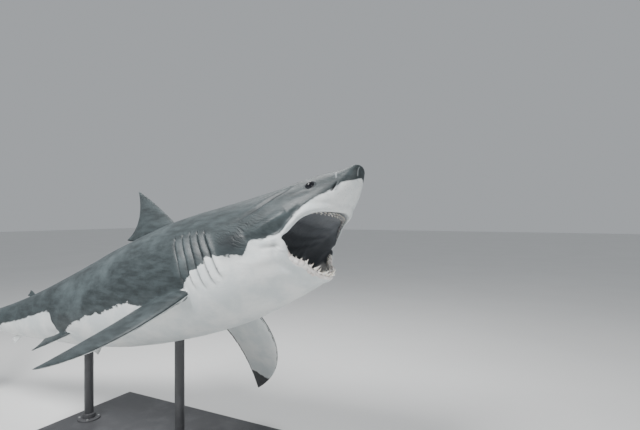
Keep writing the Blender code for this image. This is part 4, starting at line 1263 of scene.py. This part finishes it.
# ---- Eyes ---------------------------------------------------------------------------------------------


def eye_material(settings):
    """Return the eye's finish: nearly black and wet, with a faint indigo rim."""
    made, nodes, shader, place = new_material("eye_finish")
    coarse, _ = grain(nodes, place, 60.0)
    rim = nodes.times(nodes.ramp(nodes.value("rim"), 0.55, 0.95), coarse)
    nodes.fill(shader, {
        "Base Color": nodes.mix(rim, settings.eye_colour, EYE_RIM_COLOUR),
        "Roughness": 0.07,
        "Specular IOR Level": 0.30,
    })
    return made


def build_eyes(settings):
    """Make both eyeballs."""
    finish = eye_material(settings)
    for side, word in ((LEFT, "left"), (RIGHT, "right")):
        centre, outward = eye_frame(side)
        turn = Vector(outward).to_track_quat("Z", "Y").to_matrix().to_4x4()
        matrix = Matrix.Translation(Vector(centre)) @ turn
        work = bmesh.new()
        bmesh.ops.create_uvsphere(work, u_segments=40, v_segments=24, radius=EYE_RADIUS, matrix=matrix)
        mesh = mesh_from(work, "eyeball_" + word)
        offset = mesh_points(mesh) - centre
        across = np.linalg.norm(offset - (offset @ outward)[:, None] * outward, axis=-1)
        write_values(mesh, "rim", across / EYE_RADIUS)
        ball = add_piece("eyeball_" + word, mesh, finish)
        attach(ball, "root")
        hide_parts("eye_" + word)


# ---- Gums and teeth -----------------------------------------------------------------------------------


def gum_path(jaw, depth, count):
    """Return evenly spaced points, in metres, along a jaw from one corner of the mouth to the other."""
    ends = (math.pi - MOUTH_CORNER_ANGLE) * jaw["gum_span"]
    angles = np.linspace(math.pi - ends, math.pi + ends, JAW_SAMPLES)
    depths = np.full(JAW_SAMPLES, depth if jaw["upper"] else 1.0 - depth)
    path = pose(mouth_point(angles, depths))
    reach = np.concatenate([[0.0], np.cumsum(np.linalg.norm(np.diff(path, axis=0), axis=1))])
    even = np.linspace(0.0, reach[-1], count)
    return np.stack([np.interp(even, reach, path[:, k]) for k in range(3)], axis=-1)


def path_point(path, step):
    """Return the point of a path at a step from -1 at its start to 1 at its end."""
    steps = np.linspace(-1.0, 1.0, len(path))
    return Vector([np.interp(step, steps, path[:, k]) for k in range(3)])


def build_gum(name, jaw, teeth, finish):
    """Make the swollen gum that a row of teeth grows from."""
    rings = GUM_RINGS_PER_TOOTH * teeth + 1
    path, deeper = (gum_path(jaw, jaw["gum_depth"] + more, rings) for more in (0.0, 0.01))
    along = unit(np.gradient(path, axis=0))
    outward = np.cross(along, deeper - path)
    outward *= np.sign(np.einsum("ij,ij->i", outward, path - path.mean(axis=0)))[:, None]
    forward, _, up = spine_frame(np.array(LOWER_LIP_BACK))[1:]
    first = unit(np.cross(along, up + forward))
    second = np.cross(along, first)
    share = np.linspace(-1.0, 1.0, rings)
    round_angles = np.arange(GUM_SIDES) * 2 * math.pi / GUM_SIDES
    beads = np.cos(share * math.pi * teeth) + 0.5 * np.sin(share * 23.0 + 1.0)
    swell = 1.0 + 0.04 * beads[:, None] * (1.0 + 0.5 * np.sin(round_angles + 0.7))
    taper = 0.10 + 0.90 * np.clip(1.0 - share**6, 0.0, 1.0) ** 0.8
    path = path + GUM_SUNK * jaw["gum_radius"] * unit(outward)
    radius = jaw["gum_radius"] * taper[:, None] * swell
    cosines, sines = np.cos(round_angles)[None, :, None], np.sin(round_angles)[None, :, None]
    points = path[:, None] + radius[..., None] * (first[:, None] * cosines + second[:, None] * sines)
    mesh = grid_mesh(name, points)
    nearest = np.argmin(np.linalg.norm(mesh_points(mesh)[:, None] - path[None], axis=2), axis=1)
    # Painted shade between the teeth, by place along the gum.
    write_values(mesh, "tooth_gap_shade", (0.5 - 0.5 * np.cos(share * math.pi * teeth))[nearest])
    gum = add_piece(name, mesh, finish)
    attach(gum, "root")


def add_tooth(work, place, width_way, point_way, width, length, slim):
    """Add one flat serrated tooth to a mesh; a slim one is thicker for its width and more pointed."""
    start = len(work.verts)
    face_way = point_way.cross(width_way)
    bmesh.ops.create_cone(work, cap_ends=True, segments=TOOTH_SIDES, radius1=0.5, radius2=0.012, depth=1.0)
    work.verts.ensure_lookup_table()
    shape = work.verts[start:]
    sides = {edge for vertex in shape for edge in vertex.link_edges}
    longways = [edge for edge in sides if abs(edge.verts[0].co.z - edge.verts[1].co.z) > 0.5]
    bmesh.ops.subdivide_edges(work, edges=longways, cuts=7)
    work.verts.ensure_lookup_table()
    for vertex in work.verts[start:]:
        rise = vertex.co.z + 0.5
        taper = (1.0 - rise) ** (1.15 if slim else 0.90)
        around = math.atan2(vertex.co.y, vertex.co.x)
        edge = abs(math.cos(around)) ** 4
        saw = 1.0 + 0.045 * edge * math.cos(rise * 8 * math.pi) * (rise > 0.1)
        across = math.cos(around) * 0.5 * width * (taper + 0.02) * saw
        through = math.sin(around) * 0.5 * width * (0.45 if slim else 0.30) * (taper + 0.03)
        bend = -0.10 * length * rise * rise
        vertex.co = place + width_way * across + face_way * (through + bend) + point_way * (rise * length)


def tooth_lean(upper, index, step, lean_back):
    """Return the way that a tooth points; step runs from -1 to 1 along the jaw."""
    forward, left, up = spine_frame(np.array(LOWER_LIP_BACK))[1:]
    outward = Vector(forward * (1.0 - abs(step)) + left * step)
    if upper:
        return -0.95 * Vector(up) + (0.30 - lean_back) * outward
    aside = float(smooth_step(0.10, 0.60, abs(step)))
    rise = -0.25 + 0.80 * aside + 0.30 * math.sin(2.3 * index) * (1.0 - aside) + 1.1 * lean_back
    return rise * Vector(up) + (0.90 - lean_back) * outward


def tooth_size(index, row, step):
    """Return a tooth's share of the full size: largest in front, smaller to the sides, slightly uneven."""
    front = 1.0 - smooth_step(0.10, 0.55, abs(step))
    size = (0.66 + 0.34 * front) * (1.0 + 0.12 * math.sin(3.7 * index + 2 * row))
    return float(size * (1.0 - 0.35 * smooth_step(0.6, 1.0, abs(step))))


def build_teeth(name, jaw, count, node, finish):
    """Make the rows of teeth of one jaw; the inner rows are smaller and wait to take their place."""
    work = bmesh.new()
    for row, (depth, scale, lean_back) in enumerate(jaw["rows"]):
        path = gum_path(jaw, depth, TOOTH_SAMPLES)
        for i in range(count - row % 2):
            step = TOOTH_SPAN * (-1.0 + 2.0 * (i + 0.5 * (row % 2)) / (count - 1))
            width_way = (path_point(path, step + 0.02) - path_point(path, step - 0.02)).normalized()
            tilt = 0.12 * math.sin(7.1 * i + row) * width_way
            point_way = (tooth_lean(jaw["upper"], i, step, lean_back) + tilt).normalized()
            width_way = (width_way - point_way * width_way.dot(point_way)).normalized()
            raised = jaw["tooth_raise"] * jaw["gum_radius"] * (1.0 - abs(step) ** 3)
            root = path_point(path, step) + point_way * (raised - TOOTH_SUNK)
            size = scale * tooth_size(i, row, step)
            width, length = jaw["tooth_width"] * size, jaw["tooth_length"] * size
            add_tooth(work, root, width_way, point_way, width, length, slim=not jaw["upper"])
    bmesh.ops.recalc_face_normals(work, faces=work.faces[:])
    mesh = mesh_from(work, name)
    teeth = add_piece(name, mesh, finish)
    mesh.set_sharp_from_angle(angle=math.radians(40.0))
    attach(teeth, "root")
    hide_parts(node)


def build_jaws(settings):
    """Make the gums and the teeth of both jaws."""
    # Painted shade: the upper gum takes mostly the mouth's dark colour, standing for the upper lip's shadow.
    lip_shaded_gum_colour = tuple(0.9 * c + 0.08 * g for c, g in zip(settings.shaded_mouth_colour, settings.gum_colour))
    enamel = teeth_material(settings)
    pale = settings.gum_colour
    build_gum("gum_upper", UPPER_JAW, settings.upper_teeth, gum_material("upper_gum_shaded_finish", lip_shaded_gum_colour))
    build_gum("gum_lower", LOWER_JAW, settings.lower_teeth, gum_material("lower_gum_finish", pale))
    build_teeth("tooth_row_upper", UPPER_JAW, settings.upper_teeth, "teeth_upper", enamel)
    build_teeth("tooth_row_lower", LOWER_JAW, settings.lower_teeth, "teeth_lower", enamel)


def teeth_material(settings):
    """Return the enamel: ivory with uneven stains."""
    made, nodes, shader, place = new_material("enamel_finish")
    coarse, fine = grain(nodes, place, 40.0)
    stain = tinted(settings.teeth_colour, 0.86, 0.80, 0.68)
    nodes.fill(shader, {
        "Base Color": nodes.mix(nodes.ramp(coarse, 0.45, 0.75), settings.teeth_colour, stain),
        "Roughness": nodes.math("MULTIPLY_ADD", fine, 0.15, 0.18),
        "Subsurface Weight": 0.10,
        "Subsurface Radius": (0.004, 0.003, 0.002),
    })
    return made


def gum_material(name, pale):
    """Return a gum's finish: wet and uneven, with painted shade between the teeth."""
    made, nodes, shader, place = new_material(name)
    coarse, fine = grain(nodes, place, 26.0)
    colour = nodes.mix(nodes.ramp(coarse, 0.35, 0.70), pale, tinted(pale, 0.72, 0.64, 0.62))
    # Painted shade between the teeth.
    hollow = nodes.ramp(nodes.times(nodes.value("tooth_gap_shade"), coarse), 0.30, 0.48)
    nodes.fill(shader, {
        "Base Color": nodes.mix(nodes.times(hollow, 0.40), colour, tinted(pale, 0.16)),
        "Roughness": nodes.math("MULTIPLY_ADD", fine, 0.2, 0.22),
        "Normal": nodes.bump(coarse, 0.004, 0.7),
    })
    return made


# ---- Stand --------------------------------------------------------------------------------------------


def satin_material(name, colour, metallic, roughness):
    """Return a satin finish with a fine orange-peel surface and faint scuffs."""
    made, nodes, shader, place = new_material(name)
    coarse, fine = grain(nodes, place, 9.0)
    scuff = tuple(min(1.0, 1.35 * channel + 0.01) for channel in colour)
    nodes.fill(shader, {
        "Base Color": nodes.mix(nodes.ramp(coarse, 0.45, 0.75), colour, scuff),
        "Roughness": nodes.math("MULTIPLY_ADD", fine, 0.16, roughness - 0.08),
        "Metallic": metallic,
        "Normal": nodes.bump(nodes.noise(place, 420.0, 2.0), 0.0006, 0.5),
    })
    return made


def add_disc(work, place, shape, segments):
    """Add an upright disc to a mesh; its shape is a radius, a height and the rounding of the upper edge."""
    radius, height, rounding = shape
    matrix = Matrix.Translation(place + Vector((0.0, 0.0, 0.5 * height)))
    made = bmesh.ops.create_cone(
        work, cap_ends=True, segments=segments, radius1=radius, radius2=radius, depth=height, matrix=matrix
    )
    top = place.z + height
    edges = dict.fromkeys(edge for vertex in made["verts"] for edge in vertex.link_edges)
    ring = [edge for edge in edges if all(abs(vertex.co.z - top) < 1e-6 for vertex in edge.verts)]
    bmesh.ops.bevel(work, geom=ring, offset=rounding, segments=3, profile=0.5, affect="EDGES", material=-1)


def build_stand(settings):
    """Finish the base and rods, and add a collar with four screws at the foot of each rod."""
    paint = satin_material("stand_finish", settings.stand_colour, 0.0, 0.42)
    for node in ("stand_base", "stand_rod_front", "stand_rod_rear"):
        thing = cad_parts[node]
        thing.data.materials.clear()
        thing.data.materials.append(paint)
    steel = satin_material("screw_finish", STEEL_COLOUR, 1.0, 0.30)
    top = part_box("stand_base")[1][2]
    flange_top = Vector((0.0, 0.0, FLANGE[1]))
    collars, screws = bmesh.new(), bmesh.new()
    for node in ("stand_rod_front", "stand_rod_rear"):
        low, high = (Vector(corner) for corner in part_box(node))
        foot = Vector(((low.x + high.x) / 2, (low.y + high.y) / 2, top))
        add_disc(collars, foot, FLANGE, 64)
        add_disc(collars, foot + flange_top, COLLAR, 64)
        for quarter in range(4):
            turn = math.radians(45.0 + 90.0 * quarter)
            spoke = SCREW_CIRCLE * Vector((math.cos(turn), math.sin(turn), 0.0))
            add_disc(screws, foot + spoke + flange_top, SCREW_HEAD, 24)
    for name, work, finish in (("stand_collars", collars, paint), ("stand_screws", screws, steel)):
        bmesh.ops.recalc_face_normals(work, faces=work.faces[:])
        mesh = mesh_from(work, name)
        piece = add_piece(name, mesh, finish)
        mesh.set_sharp_from_angle(angle=math.radians(35.0))
        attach(piece, "root")


# ---- Studio -------------------------------------------------------------------------------------------


def area_light(name, place, target, size, power):
    """Add a soft light that faces a target."""
    lamp = bpy.data.lights.new(name, "AREA")
    lamp.shape = "SQUARE"
    lamp.size = size
    lamp.energy = power
    light = bpy.data.objects.new(name, lamp)
    light.location = place
    light.rotation_euler = (Vector(target) - Vector(place)).to_track_quat("-Z", "Y").to_euler()
    bpy.context.scene.collection.objects.link(light)


def build_stage(settings):
    """Add the pale floor, the soft lights and the camera."""
    work = bmesh.new()
    bmesh.ops.create_grid(work, x_segments=2, y_segments=2, size=FLOOR_REACH)
    made, nodes, shader, place = new_material("floor_finish")
    coarse, _ = grain(nodes, place, 0.8)
    patches = nodes.ramp(coarse, 0.3, 0.7)
    colour = nodes.mix(patches, settings.floor_colour, tinted(settings.floor_colour, 0.97))
    nodes.fill(shader, {"Base Color": colour, "Roughness": 0.75})
    floor = add_piece("floor", mesh_from(work, "floor"), made)
    world = bpy.data.worlds.new("studio")
    world.use_nodes = True
    background = world.node_tree.nodes["Background"]
    background.inputs["Color"].default_value = SKY_COLOUR
    background.inputs["Strength"].default_value = settings.ambient
    bpy.context.scene.world = world
    for name, place, target, size, power in LIGHTS:
        area_light(name, place, target, size, power * settings.light)
    lens = bpy.data.cameras.new("camera")
    lens.sensor_width = SENSOR_WIDTH
    lens.lens = CAMERA_LENS
    camera = bpy.data.objects.new("camera", lens)
    camera.location = CAMERA_PLACE
    camera.rotation_euler = Vector(CAMERA_DIRECTION).to_track_quat("-Z", "Y").to_euler()
    bpy.context.scene.collection.objects.link(camera)
    bpy.context.scene.camera = camera


# ---- Add-on -------------------------------------------------------------------------------------------


def colour_property(name, description, default):
    """Return a colour setting."""
    return bpy.props.FloatVectorProperty(
        name=name, description=description, default=default, subtype="COLOR", size=3, min=0.0, max=1.0
    )


def factor_property(name, description, default):
    """Return a setting that multiplies a strength."""
    return bpy.props.FloatProperty(name=name, description=description, default=default, subtype="FACTOR")


class SharkSettings(bpy.types.PropertyGroup):
    """Sizes and colours of the shark that a user may change."""

    lid_height: bpy.props.FloatProperty(
        name="Lid height", description="How far the eyelids stand out", default=0.0035, unit="LENGTH"
    )
    fold_strength: factor_property("Fold strength", "How strong the folds, gill flaps and lips are", 1.0)
    upper_teeth: bpy.props.IntProperty(name="Upper teeth", description="Teeth in the upper row", default=24)
    lower_teeth: bpy.props.IntProperty(name="Lower teeth", description="Teeth in the lower row", default=22)
    back_colour: colour_property("Back", "Colour of the upper skin", (0.056, 0.071, 0.075))
    belly_colour: colour_property("Belly", "Colour of the lower skin", (0.74, 0.76, 0.75))
    # The mouth's colour is a dark slate that also paints in the shade inside the open mouth.
    shaded_mouth_colour: colour_property("Mouth", "Colour of the mouth's lining", (0.125, 0.136, 0.150))
    gum_colour: colour_property("Gums", "Colour of the gums", (0.82, 0.79, 0.76))
    teeth_colour: colour_property("Teeth", "Colour of the enamel", (0.88, 0.86, 0.79))
    eye_colour: colour_property("Eyes", "Colour of the eyes", (0.006, 0.006, 0.008))


class StudioSettings(bpy.types.PropertyGroup):
    """Colours and lights of the stand and the studio."""

    stand_colour: colour_property("Stand", "Colour of the stand", (0.055, 0.056, 0.060))
    floor_colour: colour_property("Floor", "Colour of the floor", (0.80, 0.80, 0.79))
    light: factor_property("Light", "Strength of the soft lights", 1.0)
    ambient: factor_property("Ambient", "Strength of the light from all round", 0.50)


class SHARK_OT_skin(bpy.types.Operator):
    """Build the skin over the body and fins"""

    bl_idname = "shark.skin"
    bl_label = "Skin"

    def execute(self, context):
        build_skin(context.scene.shark)
        return {"FINISHED"}


class SHARK_OT_eyes(bpy.types.Operator):
    """Build both eyes"""

    bl_idname = "shark.eyes"
    bl_label = "Eyes"

    def execute(self, context):
        build_eyes(context.scene.shark)
        return {"FINISHED"}


class SHARK_OT_teeth(bpy.types.Operator):
    """Build the gums and teeth"""

    bl_idname = "shark.teeth"
    bl_label = "Gums and Teeth"

    def execute(self, context):
        build_jaws(context.scene.shark)
        return {"FINISHED"}


class SHARK_OT_stand(bpy.types.Operator):
    """Finish the stand and add its collars"""

    bl_idname = "shark.stand"
    bl_label = "Stand"

    def execute(self, context):
        build_stand(context.scene.shark_studio)
        return {"FINISHED"}


class SHARK_OT_stage(bpy.types.Operator):
    """Add the floor, lights and camera"""

    bl_idname = "shark.stage"
    bl_label = "Stage"

    def execute(self, context):
        build_stage(context.scene.shark_studio)
        return {"FINISHED"}


class SHARK_PT_panel(bpy.types.Panel):
    """Buttons and settings of the shark"""

    bl_idname = "SHARK_PT_panel"
    bl_label = "Great White Shark"
    bl_space_type = "VIEW_3D"
    bl_region_type = "UI"
    bl_category = "Shark"

    def draw(self, context):
        for settings in (context.scene.shark, context.scene.shark_studio):
            for name in settings.bl_rna.properties.keys():
                if name not in ("rna_type", "name"):
                    self.layout.prop(settings, name)
        for operator in STEPS:
            self.layout.operator(operator.bl_idname)


STEPS = (SHARK_OT_skin, SHARK_OT_eyes, SHARK_OT_teeth, SHARK_OT_stand, SHARK_OT_stage)
CLASSES = (SharkSettings, StudioSettings, *STEPS, SHARK_PT_panel)


def register():
    for cls in CLASSES:
        bpy.utils.register_class(cls)
    bpy.types.Scene.shark = bpy.props.PointerProperty(type=SharkSettings)
    bpy.types.Scene.shark_studio = bpy.props.PointerProperty(type=StudioSettings)


def unregister():
    del bpy.types.Scene.shark_studio
    del bpy.types.Scene.shark
    for cls in reversed(CLASSES):
        bpy.utils.unregister_class(cls)


def main():
    register()
    bpy.ops.shark.stage()
    bpy.ops.shark.skin()
    bpy.ops.shark.eyes()
    bpy.ops.shark.teeth()
    bpy.ops.shark.stand()


if __name__ == "__main__":
    main()
